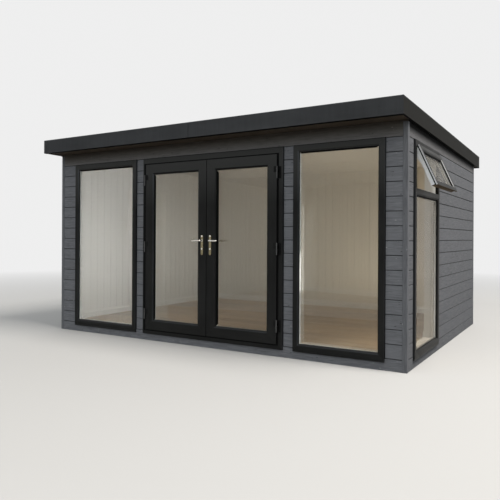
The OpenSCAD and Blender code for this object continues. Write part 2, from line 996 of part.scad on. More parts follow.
module left_door_hinges() {
    color("black")
        at_leaf("left")
            leaf_hinges();
}

module left_door_plates() {
    color("silver")
        at_leaf("left")
            on_both_faces()
                handle_plate();
}

module left_door_lever() {
    color("silver")
        at_leaf("left")
            levers();
}

module right_door_leaf() {
    color("darkslategray")
        at_leaf("right")
            leaf();
}

module right_door_glass() {
    color("lightblue", 0.4)
        at_leaf("right")
            pane(leaf_w, leaf_h, leaf_rebate, leaf_glass_back);
}

module right_door_hinges() {
    color("black")
        at_leaf("right")
            leaf_hinges();
}

module right_door_plates() {
    color("silver")
        at_leaf("right")
            on_both_faces()
                handle_plate();
}

module right_door_lever() {
    color("silver")
        at_leaf("right")
            levers();
}

floor_base();
floor_boards();
plinth_boards();
front_wall_posts();
front_wall_header();
left_wall();
right_wall();
right_wall_header();
rear_wall();
front_cladding();
left_cladding();
right_cladding();
rear_cladding();
corner_trims();
frieze_boards();
roof_deck();
roof_covering();
soffit();
front_fascia();
rear_fascia();
side_fascias();
front_lining();
side_linings();
rear_lining();
ceiling_lining();
skirting_boards();
window_reveals();
front_window_frames();
front_window_glass();
side_window_frame();
side_window_glass();
vent_sash();
vent_stays();
door_frame();
door_frame_hinges();
left_door_leaf();
left_door_glass();
left_door_hinges();
left_door_plates();
left_door_lever();
right_door_leaf();
right_door_glass();
right_door_hinges();
right_door_plates();
right_door_lever();
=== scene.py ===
"""Garden office pod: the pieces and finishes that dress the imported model.

Lengths are metres in the model's frame. The origin is the centre of the base
at ground level, +Z is up and the front faces -Y.
"""
import math

import bpy
import numpy as np
from mathutils import Matrix, Vector


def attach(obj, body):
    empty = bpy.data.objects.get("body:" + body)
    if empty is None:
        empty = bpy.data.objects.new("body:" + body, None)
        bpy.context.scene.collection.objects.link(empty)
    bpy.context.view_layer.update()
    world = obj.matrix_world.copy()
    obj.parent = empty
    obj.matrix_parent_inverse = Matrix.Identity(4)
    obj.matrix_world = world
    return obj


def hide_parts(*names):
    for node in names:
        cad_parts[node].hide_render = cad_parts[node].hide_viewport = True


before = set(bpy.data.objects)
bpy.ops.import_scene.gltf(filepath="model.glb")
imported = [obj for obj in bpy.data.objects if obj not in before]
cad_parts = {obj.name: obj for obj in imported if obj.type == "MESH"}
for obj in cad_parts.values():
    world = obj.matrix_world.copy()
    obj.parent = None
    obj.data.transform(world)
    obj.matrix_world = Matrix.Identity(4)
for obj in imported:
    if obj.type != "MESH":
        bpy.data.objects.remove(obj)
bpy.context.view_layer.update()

# ---------------------------------------------------------------- sizes
# Room over the boards, half width and half depth
HALF_X, HALF_Y = 2.325, 1.750
BOARD_T, WALL_T, LINING_T = 0.022, 0.110, 0.010
WALL_X, WALL_Y = HALF_X - BOARD_T, HALF_Y - BOARD_T
ROOM_X, ROOM_Y = WALL_X - WALL_T, WALL_Y - WALL_T
LINED_X, LINED_Y = ROOM_X - LINING_T, ROOM_Y - LINING_T
BASE_H, PLINTH_H, COURSE_H, COURSES = 0.078, 0.110, 0.138, 15
COURSE_TOP = PLINTH_H + COURSE_H * COURSES
GROOVE_W, GROOVE_D = 0.0075, 0.006
CORNER_W, CORNER_PROUD = 0.045, 0.003
TRIM_X, TRIM_Y = HALF_X - CORNER_W, HALF_Y - CORNER_W
BOARDS_X, BOARDS_Y = TRIM_X - 0.001, TRIM_Y - 0.001      # where the boards end
FLOOR_Z, FLOOR_TOP = 0.112, 0.124
SILL_TOP = 0.142
OPENING_H = COURSE_TOP - BASE_H
# Front openings as [left edge, right edge]
LEFT_WINDOW, DOORWAY, RIGHT_WINDOW = (-2.050, -0.985), (-0.865, 1.040), (1.160, 2.115)
SIDE_WINDOW = (-1.550, -0.540)
FRAME_PROUD, FRAME_D, FRAME_FACE, BEAD_W, CILL_H = 0.020, 0.070, 0.050, 0.014, 0.014
GLASS_T, GLASS_BACK, REBATE_D, GLASS_GAP = 0.024, 0.022, 0.011, 0.001
REVEAL_T = 0.009
# Roof
FALL = math.tan(math.radians(0.5))
WALL_TOP, DECK_T, MEMBRANE_T, RIM_H, RIM_W = 2.344, 0.140, 0.004, 0.008, 0.080
ROOF_X, ROOF_Y, FASCIA_T, FASCIA_DROP = 2.360, 2.020, 0.020, 0.016
DECK_X, DECK_Y = ROOF_X - FASCIA_T, ROOF_Y - FASCIA_T
SOFFIT_T, SOFFIT_TRIM_H, SOFFIT_TRIM_OUT = 0.010, 0.016, 0.031
SOFFIT_LOW = SOFFIT_T + SOFFIT_TRIM_H
# Door leaves
LEAF_W, LEAF_H, LEAF_Z, LEAF_Y, LEAF_D = 0.889, 1.974, 0.134, -1.790, 0.068
LEAF_FACE, LIP_T, BODY_IN, LEAF_GLASS_BACK = 0.104, 0.013, 0.014, 0.025
LEFT_LEAF_X, RIGHT_LEAF_X = -0.805, 0.980
LEVER_X, LEVER_Z = LEAF_W - LEAF_FACE / 2, 1.203
HINGE_HEIGHTS = (0.323, 1.125, 1.920)
HINGE_H, KNUCKLE_R, AXIS_SIDE, AXIS_FRONT = 0.125, 0.007, 0.008, 0.010
# Vent
SASH_W, SASH_H, SASH_FACE, SASH_D, VENT_IN, VENT_ANGLE = 0.926, 0.425, 0.042, 0.060, 0.042, 24
LEAF_PROUD = 0.020       # how far the leaves, and the shut vent, stand before their frames
TRANSOM = (1.584, 1.643)

HAIR = 0.0002            # gap that keeps two surfaces out of one plane

X, Y, Z = np.eye(3)
rng = np.random.default_rng(17)


def roof_z(y):
    """Height of the roof deck's underside at a depth y."""
    return WALL_TOP - (np.asarray(y) + HALF_Y) * FALL


# ---------------------------------------------------------------- mesh making
def rounded(points, radius, steps=3):
    """An outline whose corners are arcs.

    Each corner P with edge directions e1 and e2 gets an arc of its radius that
    touches both edges: its centre is P + (e1 + e2) / |e1 + e2| * r / sin(half
    angle), and the arc runs between the two touching points.
    """
    p = np.asarray(points, float)
    r = np.broadcast_to(np.asarray(radius, float), len(p))[:, None]
    e1 = np.roll(p, 1, 0) - p
    e2 = np.roll(p, -1, 0) - p
    e1 /= np.linalg.norm(e1, axis=1, keepdims=True)
    e2 /= np.linalg.norm(e2, axis=1, keepdims=True)
    half = np.arccos(np.clip((e1 * e2).sum(1, keepdims=True), -1, 1)) / 2
    middle = e1 + e2
    centre = p + middle / np.linalg.norm(middle, axis=1, keepdims=True) * r / np.sin(half)
    a = p + e1 * r / np.tan(half) - centre
    b = p + e2 * r / np.tan(half) - centre
    sweep = (math.pi - 2 * half)[:, None]
    s = np.linspace(0, 1, steps + 1)[None, :, None]
    arc = (np.sin((1 - s) * sweep) * a[:, None] + np.sin(s * sweep) * b[:, None]) / np.sin(sweep)
    return (centre[:, None] + arc).reshape(-1, 2)


def oblong(x0, y0, x1, y1, radius=None, steps=2):
    """A rectangle's outline, with rounded corners where a radius is given."""
    points = [(x0, y0), (x1, y0), (x1, y1), (x0, y1)]
    return points if radius is None else rounded(points, radius, steps)


def move(x=0.0, y=0.0, z=0.0):
    m = np.eye(4)
    m[:3, 3] = x, y, z
    return m


def turn(axis, degrees):
    """Rotation about X (0) or Z (2)."""
    c, s = math.cos(math.radians(degrees)), math.sin(math.radians(degrees))
    i, j = {0: (1, 2), 2: (0, 1)}[axis]
    m = np.eye(4)
    m[i, i], m[i, j], m[j, i], m[j, j] = c, -s, s, c
    return m


def flip(axis):
    """Mirror image along one axis."""
    m = np.eye(4)
    m[axis, axis] = -1
    return m


class Work:
    """Closed skins gathered for one piece, with a grain direction, a tone and a finish each."""

    def __init__(self):
        self.points, self.grain, self.tone, self.faces, self.finish = [], [], [], [], []
        self.count = 0

    def skin(self, rows, grain=None, tone=0.0, finish=0, place=None):
        """Rows of points, each a closed loop, joined by quads and closed by an end face at each end.

        finish is a number, or one for each face along a loop. The end faces take the first.
        """
        rows = np.asarray(rows, float)
        m, n = rows.shape[:2]
        points = rows.reshape(-1, 3)
        k, i = np.meshgrid(np.arange(m - 1), np.arange(n), indexing="ij")
        j = (i + 1) % n
        quads = np.stack([k * n + i, k * n + j, (k + 1) * n + j, (k + 1) * n + i], -1).reshape(-1, 4)
        ends = [np.arange(n)[::-1], (m - 1) * n + np.arange(n)]
        corners = points[quads]
        normal = np.cross(corners[:, 2] - corners[:, 0], corners[:, 3] - corners[:, 1])
        inside_out = ((corners.mean(1) - points.mean(0)) * normal).sum() < 0
        numbers = np.tile(np.broadcast_to(finish, n), m - 1)
        if place is not None:
            inside_out ^= np.linalg.det(place[:3, :3]) < 0
            points = points @ place[:3, :3].T + place[:3, 3]
        if inside_out:
            quads = quads[:, ::-1]
            ends = [e[::-1] for e in ends]
        self.faces += (quads + self.count).tolist()
        self.faces += [(e + self.count).tolist() for e in ends]
        self.finish += [int(f) for f in numbers] + [int(numbers[0])] * 2
        self.points.append(points)
        self.grain.append(np.asarray(rows if grain is None else grain, float).reshape(-1, 3))
        self.tone.append(np.full(len(points), float(tone)))
        self.count += len(points)

    def bar(self, outline, start, end, across, up, mitre=(0.0, 0.0), slope=(0, 0), tone=None,
            finish=0, place=None, grain_at=None):
        """An outline carried in a straight line.

        A point (a, b) of the outline lies at start + a * across + b * up, and the same from end.
        A mitre moves it along the line by a times its factor, inwards at both ends, and a slope by
        b times its factor. finish may be a function of a and b at the middle of each face. Without
        a tone it gets one by chance, and grain_at says where in the grain's pattern it lies.
        """
        p = np.asarray(outline, float)
        start, end, across, up = (np.asarray(v, float) for v in (start, end, across, up))
        run = end - start
        length = np.linalg.norm(run)
        run = run / length
        a, b = p[:, :1], p[:, 1:]
        first = start + a * (across + mitre[0] * run) + b * (up + slope[0] * run)
        last = end + a * (across - mitre[1] * run) + b * (up + slope[1] * run)
        rows = np.stack([first, last])
        if callable(finish):
            finish = finish(*((p + np.roll(p, -1, 0)) / 2).T)
        if tone is None:
            tone = rng.uniform(-1, 1)
        mark = rng.uniform(0, 50) if grain_at is None else grain_at
        along = ((rows - start) @ run)[..., None]
        across_grain = np.broadcast_to((a + b)[None], along.shape)
        marks = np.full(along.shape, mark)
        grain = np.concatenate([along + mark, across_grain + mark, marks], -1)
        self.skin(rows, grain, tone, finish, place)

    def ring(self, w, h, outlines, finish=0, place=None, tone=0, faces=(1, 1, 1, 1)):
        """Four mitred bars round an opening that stands at the origin and faces -Y.

        The outlines are [inward, depth], one for all or for left, right, foot and head. Where the
        bars differ in width, faces gives the widths, and each mitre runs from the outer to the
        inner corner. A hair's seam is left at each mitre.
        """
        outlines = outlines if isinstance(outlines, tuple) else (outlines,) * 4
        finishes = finish if isinstance(finish, tuple) else (finish,) * 4
        left, right, foot, head = faces
        seam = 0.00035
        spec = (
            ((0, 0, seam), (0, 0, h - seam), X, (foot / left, head / left)),
            ((w, 0, seam), (w, 0, h - seam), -X, (foot / right, head / right)),
            ((seam, 0, 0), (w - seam, 0, 0), Z, (left / foot, right / foot)),
            ((seam, 0, h), (w - seam, 0, h), -Z, (left / head, right / head)),
        )
        for outline, (start, end, across, mitre), one in zip(outlines, spec, finishes):
            self.bar(outline, start, end, across, Y, mitre, tone=tone, finish=one, place=place)

    def border(self, outline, x, y, z, finishes):
        """Four mitred bars round a level rectangle of half sizes x and y.

        The finishes are the one of the front and rear bars and the one of the side bars.
        """
        spots = [(*corner, z) for corner in oblong(-x, -y, x, y)]
        for k, across in enumerate((Y, -X, -Y, X)):
            self.bar(outline, spots[k - 4], spots[k - 3], across, Z, (1, 1), tone=0, finish=finishes[k % 2])

    def plank(self, low, high, arris):
        """A board lying flat along X, whose upper edges are bevelled all round."""
        low, high = np.asarray(low, float), np.asarray(high, float)
        middle, size = (low + high) / 2, high - low
        square = np.array([(-1, -1), (1, -1), (1, 1), (-1, 1)]) / 2
        levels = ((low[2], 0), (high[2] - arris, 0), (high[2], arris))
        rows = np.array([np.column_stack([middle[:2] + square * (size[:2] - 2 * inset), np.full(4, z)])
                         for z, inset in levels])
        mark = rng.uniform(0, 50)
        self.skin(rows, rows + mark, rng.uniform(-1, 1))

    def turned(self, profile, place, steps, finish=0):
        """A [radius, height] profile turned about Z, then put in its place."""
        r, h = np.asarray(profile, float).T[..., None]
        t = np.linspace(0, 2 * math.pi, steps, endpoint=False)
        self.skin(np.stack([r * np.cos(t), r * np.sin(t), h + 0 * t], -1), finish=finish, place=place)

    def piece(self, name, materials, slot, *replaces, body="building", shear=False, smooth=None):
        """The finished object, riding on its body. shear lifts it onto the falling roof."""
        points = np.concatenate(self.points)
        if shear:
            points[:, 2] += roof_z(points[:, 1])
        mesh = bpy.data.meshes.new(name)
        mesh.from_pydata(points.tolist(), [], self.faces)
        mesh.polygons.foreach_set("material_index", np.array(self.finish, np.int32))
        mesh.attributes.new("grain", "FLOAT_VECTOR", "POINT").data.foreach_set(
            "vector", np.concatenate(self.grain).ravel())
        mesh.attributes.new("tone", "FLOAT", "POINT").data.foreach_set("value", np.concatenate(self.tone))
        if smooth:
            mesh.shade_smooth()
            mesh.set_sharp_from_angle(angle=math.radians(smooth))
        mesh.update()
        obj = bpy.data.objects.new(name, mesh)
        bpy.context.scene.collection.objects.link(obj)
        for material in materials:
            mesh.materials.append(material)
        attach(obj, body)
        if replaces:
            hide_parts(*replaces)


# ---------------------------------------------------------------- finishes
class Graph:
    """A shader graph that grows from short calls."""

    def __init__(self, owner):
        owner.use_nodes = True
        self.tree = owner.node_tree

    def feed(self, node, inputs):
        """Each input of a node takes a value or another node's output."""
        for socket, value in inputs.items():
            if isinstance(value, bpy.types.NodeSocket):
                self.tree.links.new(value, node.inputs[socket])
            else:
                node.inputs[socket].default_value = value

    def node(self, kind, inputs=None, **settings):
        n = self.tree.nodes.new("ShaderNode" + kind)
        for key, value in settings.items():
            setattr(n, key, value)
        self.feed(n, inputs or {})
        return n

    def maths(self, operation, a, b=0.0, clamp=False):
        return self.node("Math", {0: a, 1: b}, operation=operation, use_clamp=clamp).outputs[0]

    def blend(self, factor, a, b):
        """Two shaders mixed."""
        return self.node("MixShader", {0: factor, 1: a.outputs[0], 2: b.outputs[0]})

    def seen_ray(self):
        """1 for the rays of the camera, and of reflections and clear glass, else 0."""
        path = self.node("LightPath").outputs
        total = path["Is Camera Ray"]
        for name in ("Is Glossy Ray", "Is Transmission Ray"):
            total = self.maths("MAXIMUM", total, path[name])
        return total


class Finish(Graph):
    """The shader graph of one finish, round its Principled shader."""

    def __init__(self, name, rough=0.5, metallic=0.0, specular=0.5, color=(0.5, 0.5, 0.5)):
        self.material = bpy.data.materials.new(name)
        super().__init__(self.material)
        self.shader = self.tree.nodes["Principled BSDF"]
        self.feed(self.shader, {"Roughness": rough, "Metallic": metallic, "Specular IOR Level": specular,
                                "Base Color": (*color, 1)})

    def scaled(self, vector, scale):
        return self.node("VectorMath", {0: vector, 1: scale}, operation="MULTIPLY").outputs[0]

    def along(self, scale):
        """The piece's own grain coordinates, scaled along, across and by board."""
        return self.scaled(self.node("Attribute", attribute_name="grain").outputs["Vector"], scale)

    def place(self, *scale):
        """Object coordinates, scaled on each axis by its own number or all by one."""
        return self.scaled(self.node("TexCoord").outputs["Object"], scale if len(scale) == 3 else scale * 3)

    def wall(self, scale):
        """Object coordinates as [x + y, z, x - y]: along a wall on either face, and up it."""
        x, y, z = self.node("SeparateXYZ", {0: self.node("TexCoord").outputs["Object"]}).outputs
        run, off = self.maths("ADD", x, y), self.maths("SUBTRACT", x, y)
        return self.scaled(self.node("CombineXYZ", {0: run, 1: z, 2: off}).outputs[0], scale)

    def height(self):
        return self.node("SeparateXYZ", {0: self.place(1)}).outputs[2]

    def noise(self, vector, detail=3.0, roughness=0.55, warp=0.0):
        return self.node("TexNoise", {
            "Vector": vector, "Scale": 1.0, "Detail": detail, "Roughness": roughness, "Distortion": warp,
        }).outputs["Fac"]

    def tone(self):
        return self.node("Attribute", attribute_name="tone").outputs["Fac"]

    def ramp(self, value, low, high, out=(0.0, 1.0)):
        """value from low..high to out, held at the ends."""
        return self.node("MapRange", {
            "Value": value, "From Min": low, "From Max": high, "To Min": out[0], "To Max": out[1],
        }).outputs["Result"]

    def mix(self, factor, a, b, blend="MIX"):
        n = self.node("Mix", {"Factor": factor}, data_type="RGBA", blend_type=blend)
        for socket, value in ((n.inputs[6], a), (n.inputs[7], b)):
            if isinstance(value, bpy.types.NodeSocket):
                self.tree.links.new(value, socket)
            else:
                socket.default_value = (*value, 1)
        return n.outputs[2]

    def bump(self, height, distance, strength, before=None):
        inputs = {"Height": height, "Distance": distance, "Strength": strength}
        if before is not None:
            inputs["Normal"] = before
        return self.node("Bump", inputs).outputs["Normal"]

    def start(self, color, factor, dark, light):
        """The colour runs from one shade of itself to another as the factor goes from 0 to 1."""
        self.color = color
        self.body = self.mix(factor, shade(color, dark), shade(color, light))

    def layer(self, factor, to, blend="MIX"):
        """A shade of the colour, given as a number, or another colour is laid over it."""
        self.body = self.mix(factor, self.body, shade(self.color, to) if isinstance(to, float) else to, blend)

    def set(self, rough, normal):
        self.feed(self.shader, {"Base Color": self.body, "Roughness": rough, "Normal": normal})
        return self.material

    def surface(self, shader):
        """Another shader than the Principled one on its own becomes the finish."""
        self.feed(self.tree.nodes["Material Output"], {"Surface": shader.outputs[0]})
        return self.material


def shade(color, factor):
    """A colour made lighter or darker."""
    return tuple(c * factor for c in color)


def board_finish(name, color, on_cad=False, overhang_shade=None):
    """Grey composite board: streaks along the board, cloudy patches, and few pits with pale flecks.

    The last argument, as (low height, high height, low tint, high tint), darkens a board towards the soffit: painted
    shade of the overhang.
    """
    f = Finish(name, specular=0.03)
    across = f.wall if on_cad else f.along
    fine = f.noise(across((14.0, 300.0, 7.0)), detail=4.0, roughness=0.6)
    streak = f.noise(across((7.0, 85.0, 3.0)), detail=3.0, roughness=0.6, warp=0.3)
    cloud = f.noise(across((1.6, 5.0, 2.0)), detail=2.0)
    level = f.maths("ADD", f.maths("MULTIPLY", fine, 0.35), f.maths("MULTIPLY", streak, 0.65))
    f.start(color, f.ramp(level, 0.36, 0.64), 0.70, 1.30)
    f.layer(f.ramp(cloud, 0.3, 0.7, (0.0, 0.35)), 1.15)
    if not on_cad:
        f.layer(f.ramp(f.tone(), -1.0, 1.0, (0.0, 0.35)), 1.20)
    chance = f.noise(across((9.0, 22.0, 4.0)), detail=1.0)
    cell = f.node("TexVoronoi", {"Vector": across((20.0, 55.0, 9.0)), "Scale": 1.0}).outputs["Distance"]
    spot = f.ramp(cell, 0.26, 0.10)
    fleck = f.maths("MULTIPLY", spot, f.ramp(chance, 0.66, 0.72), clamp=True)
    pit = f.maths("MULTIPLY", spot, f.ramp(chance, 0.40, 0.34), clamp=True)
    f.layer(fleck, (0.33, 0.33, 0.325))
    f.layer(pit, 0.35)
    # Painted shade of the overhang: darker towards the soffit
    if overhang_shade:
        f.layer(1.0, f.mix(f.ramp(f.height(), *overhang_shade[:2]), *overhang_shade[2:]), "MULTIPLY")
    relief = f.bump(f.maths("SUBTRACT", fleck, pit), 0.0006, 0.5, f.bump(level, 0.0014, 0.6))
    return f.set(f.ramp(streak, 0.3, 0.7, (0.70, 0.88)), relief)


def foil_finish(name, color, rough=0.44, specular=0.05, white=False):
    """Window profile foil: a fine embossed grain along the bar, with faint dust.

    Unless it is white, it is painted lighter from 1.6 m up, a painted sheen of the sky, but less where the tone is
    negative.
    """
    f = Finish(name, specular=specular)
    grain = f.noise(f.along((12.0, 900.0, 5.0)), detail=2.0)
    cloud = f.noise(f.along((2.0, 6.0, 3.0)))
    f.start(color, f.ramp(cloud, 0.35, 0.65), *((0.95, 1.03) if white else (0.85, 1.2)))
    if not white:
        # Painted sheen: lighter towards the top
        f.layer(f.maths("ADD", f.tone(), f.ramp(f.height(), 1.60, 2.10), clamp=True), 2.9)
    relief = f.bump(grain, 0.0002, 0.06 if white else 0.25)
    return f.set(f.ramp(cloud, 0.3, 0.7, (rough - 0.05, rough + 0.07)), relief)


def metal_finish(name, color, rough=0.6, specular=0.05):
    """Powder-coated metal: a fine orange peel, and a soft cloud of dust and water marks."""
    f = Finish(name, specular=specular)
    peel = f.noise(f.place(420.0), detail=2.0)
    cloud = f.noise(f.place(1.4, 1.4, 5.0), detail=4.0, roughness=0.6)
    runs = f.noise(f.place(30.0, 30.0, 1.2))
    mark = f.maths("ADD", f.maths("MULTIPLY", cloud, 0.7), f.maths("MULTIPLY", runs, 0.3))
    f.start(color, f.ramp(mark, 0.35, 0.65), 0.88, 1.14)
    return f.set(f.ramp(mark, 0.35, 0.65, (rough - 0.05, rough + 0.08)), f.bump(peel, 0.0002, 0.12))


def paint_finish(name, color):
    """Satin paint on boards: roller stipple, a slight tone from board to board."""
    f = Finish(name, specular=0.4)
    stipple = f.noise(f.place(260.0), detail=2.0)
    cloud = f.noise(f.place(0.9))
    f.start(color, f.ramp(cloud, 0.3, 0.7), 0.965, 1.02)
    f.layer(f.ramp(f.tone(), -1.0, 1.0, (0.0, 0.5)), 0.97)
    return f.set(f.ramp(cloud, 0.3, 0.7, (0.42, 0.52)), f.bump(stipple, 0.0003, 0.12))


def plank_finish(name, color):
    """Oak-brown floor planks: long grain with cathedral figure, pores and a tone for each plank."""
    f = Finish(name, specular=0.4)
    figure = f.noise(f.along((1.6, 22.0, 1.0)), detail=4.0, warp=1.3)
    rings = f.maths("SINE", f.maths("MULTIPLY", figure, 34.0))
    pores = f.noise(f.along((14.0, 420.0, 3.0)))
    f.start(color, f.ramp(rings, -1.0, 1.0, (0.1, 0.7)), 1.15, 0.62)
    f.layer(f.ramp(pores, 0.58, 0.70, (0.0, 0.6)), 0.4)
    f.layer(f.ramp(f.tone(), -1.0, 0.0, (0.50, 0.0)), 0.45)
    golden = tuple(c * k for c, k in zip(color, (1.25, 1.2, 1.1)))
    f.layer(f.ramp(f.tone(), 0.0, 1.0, (0.0, 0.45)), golden)
    return f.set(f.ramp(figure, 0.3, 0.7, (0.34, 0.46)), f.bump(pores, 0.0004, 0.25))


def timber_finish(name, color):
    """Plain sawn timber and board, seen only where the pod is open."""
    f = Finish(name, specular=0.25)
    grain = f.noise(f.wall((2.0, 70.0, 8.0)), detail=4.0, warp=0.6)
    cloud = f.noise(f.place(3.0), detail=2.0)
    f.start(color, f.ramp(grain, 0.3, 0.7), 0.7, 1.2)
    f.layer(f.ramp(cloud, 0.3, 0.7, (0.0, 0.4)), 0.85)
    return f.set(f.ramp(grain, 0.3, 0.7, (0.68, 0.85)), f.bump(grain, 0.001, 0.4))


def rubber_finish(name, color, rough, size, specular=0.3):
    """Rubber or sheet: a fine matt texture with a pale bloom in patches."""
    f = Finish(name, specular=specular)
    fine = f.noise(f.place(size))
    bloom = f.noise(f.place(1.1), detail=5.0, roughness=0.62)
    f.start(color, f.ramp(bloom, 0.42, 0.68), 1.0, 1.45)
    f.layer(f.ramp(fine, 0.4, 0.6, (0.0, 0.4)), 0.8)
    return f.set(f.ramp(bloom, 0.35, 0.65, (rough - 0.08, rough + 0.06)), f.bump(fine, 0.0005, 0.3))


def polished_finish(name, color, rough, lines=(90.0,)):
    """Polished or brushed metal with faint handling marks."""
    f = Finish(name, metallic=1.0)
    smear = f.noise(f.place(38.0), detail=4.0, roughness=0.6)
    brush = f.noise(f.place(*lines), detail=2.0)
    f.start(color, f.ramp(smear, 0.35, 0.65), 0.93, 1.04)
    dull = f.ramp(smear, 0.35, 0.7, (rough - 0.04, rough + 0.07))
    return f.set(f.maths("ADD", dull, f.ramp(brush, 0.3, 0.7, (-0.02, 0.03))), f.bump(brush, 0.0001, 0.1))


def glass_finish(name, clear_share=0.75, tint=(0.97, 0.975, 0.97)):
    """Clear anti-glare glass that lets the light through to the room, with a trace of dust."""
    f = Finish(name, rough=0.0, color=(0.965, 0.975, 0.970))
    dust = f.noise(f.place(2.0), detail=4.0)
    f.feed(f.shader, {"Transmission Weight": 1.0, "IOR": 1.45, "Roughness": f.ramp(dust, 0.45, 0.8, (0.0, 0.02))})
    clear = f.node("BsdfTransparent", {"Color": (*tint, 1)})
    coated = f.blend(clear_share, f.shader, clear)
    return f.surface(f.blend(f.node("LightPath").outputs["Is Shadow Ray"], coated, clear))


GREY, DARK, HIGHLIGHT_GREY = (0.134, 0.136, 0.143), (0.0145, 0.0145, 0.0138), (0.024, 0.025, 0.026)
WHITE, REAR_SHADE_BEIGE, BLACK_COLOR = (0.76, 0.755, 0.735), (0.71, 0.675, 0.60), (0.004, 0.004, 0.004)
boards = board_finish("grey boards", GREY)
# Painted shade in the board grooves
shaded_groove_board = board_finish("grey board grooves", shade(GREY, 0.22))
# Frieze boards with painted shade under the overhang: warm at the front, near black under the side fascias
frieze_board = board_finish("grey frieze boards", GREY, overhang_shade=(
    2.190, 2.305, (0.96, 0.91, 0.83), (0.62, 0.54, 0.44)))
side_frieze_board = board_finish("grey side frieze boards", GREY, overhang_shade=(
    2.215, 2.285, (0.97, 0.94, 0.90), (0.02, 0.02, 0.018)))
shaded_corner_board = board_finish("grey corner board fronts", shade(GREY, 0.86))
plinth_board = board_finish("grey plinth boards", GREY, on_cad=True)
fascia_metal = metal_finish("slate fascia metal", (0.045, 0.046, 0.0475), specular=0.01)
# The same metal painted darker on the side fascias: painted shade
shaded_side_fascia_metal = metal_finish("slate side fascia metal", (0.0230, 0.0226, 0.0210), specular=0.01)
# The rim painted paler than the fascia: a painted highlight along the roof's edge
highlit_rim_metal = metal_finish("slate roof rim metal", (0.070, 0.072, 0.076), rough=0.5, specular=0.2)
soffit_paint = metal_finish("dark brown soffit", (0.170, 0.142, 0.116), rough=0.75, specular=0.02)
front_trim = metal_finish("brown soffit trim", (0.110, 0.096, 0.082), rough=0.8, specular=0.02)
# Black for the side trims and the outer soffit strips: painted shadow under the fascias
shadow_black_paint = metal_finish("black soffit trim", (0.006, 0.006, 0.006), rough=0.8, specular=0.01)
hinge_paint = metal_finish("black hinge paint", BLACK_COLOR, rough=0.40, specular=0.08)
leaf_plate_paint = metal_finish("dark hinge plate paint", (0.011, 0.011, 0.0105), rough=0.5, specular=0.05)
highlit_barrel_paint = metal_finish("hinge barrel paint with painted highlight", (0.050, 0.050, 0.049), rough=0.32, specular=0.35)
white_paint = paint_finish("white satin paint", WHITE)
# Darker copies of the paints for the V joints: painted shade
white_joint = paint_finish("white satin paint in V joints", shade(WHITE, 0.72))
# The rear lining's white paint tinted beige: painted warm shade
rear_paint = paint_finish("beige satin paint", REAR_SHADE_BEIGE)
rear_joint = paint_finish("beige satin paint in V joints", shade(REAR_SHADE_BEIGE, 0.80))
oak = plank_finish("oak floor planks", (0.43, 0.305, 0.195))
timber = timber_finish("sawn timber", (0.46, 0.36, 0.24))
base_timber = timber_finish("treated base timber", (0.20, 0.17, 0.13))
membrane = rubber_finish("roof membrane", (0.050, 0.050, 0.052), 0.80, 300.0)
rubber = rubber_finish("black gasket rubber", BLACK_COLOR, 0.70, 700.0, specular=0.04)
pale_rubber = rubber_finish("pale gasket rubber", (0.62, 0.62, 0.61), 0.60, 700.0)
chrome = polished_finish("satin chrome", (0.62, 0.60, 0.56), 0.17)
# Handle plates: chrome with the garden's reflection painted into its colour as olive
reflection_tinted_plate = polished_finish("chrome with painted olive reflection", (0.23, 0.20, 0.125), 0.22)
steel = polished_finish("brushed steel", (0.72, 0.72, 0.71), 0.45, (12.0, 400.0, 60.0))
lit_spacer_white = rubber_finish("white spacer bar", (0.72, 0.73, 0.73), 0.45, 500.0)
spacer_dark = rubber_finish("dark spacer bar", (0.10, 0.10, 0.10), 0.50, 500.0)
glass = glass_finish("clear glass")
side_glass = glass_finish("side window glass", 0.88, (0.90, 0.89, 0.87))

# The window bars' finishes, and which of them a face shows. The grey edge and the bead foils are painted highlights
FOILS = [
    foil_finish("dark window foil", DARK),
    foil_finish("white window plastic", (0.80, 0.80, 0.79), rough=0.30, specular=0.35, white=True),
    foil_finish("grey edge of the window foil", HIGHLIGHT_GREY),
    foil_finish("satin glazing bead foil", HIGHLIGHT_GREY, rough=0.36),
    # Black for the leaves' head beads and edges: painted shadow
    foil_finish("black head bead foil", BLACK_COLOR),
    # Vent: a pale edge with a painted sheen, a brown foot of painted shade and reflection, a grey bead as painted
    # highlight
    foil_finish("pale grey vent edge", (0.53, 0.53, 0.53), rough=0.5, white=True),
    foil_finish("vent foot, painted brown shade", (0.105, 0.072, 0.040), rough=0.6, white=True),
    foil_finish("grey vent bead", (0.24, 0.24, 0.235), rough=0.5, white=True),
]
FACE, INNER, LIT_EDGE, LIT_BEAD, SHADE_BLACK, VENT_EDGE_AND_SHEEN, VENT_FOOT_SHADE, LIT_VENT_BEAD = range(8)

# ---------------------------------------------------------------- outside boards
# Where a wall goes that is drawn along X and faces -Y
PUT_FRONT, PUT_RIGHT = move(y=-HALF_Y), move(HALF_X) @ turn(2, 90)
PUT_REAR, PUT_LEFT = move(y=HALF_Y) @ turn(2, 180), move(-HALF_X) @ turn(2, -90)

# A board's section, [depth, height], with the groove along its foot
BOARD = rounded([
    (0, GROOVE_W), (GROOVE_D, GROOVE_W), (GROOVE_D, HAIR), (BOARD_T, HAIR), (BOARD_T, COURSE_H), (0, COURSE_H),
], [0.0016, 0.0006, 0.0001, 0.0001, 0.0001, 0.0016])
SEAL_W = 0.007


def groove_faces(a, b):
    """The groove's flank and back face, painted dark as the shade in the groove."""
    return (b < GROOVE_W + 0.0005) & (a > 0.0008) & (a < BOARD_T - 0.001)


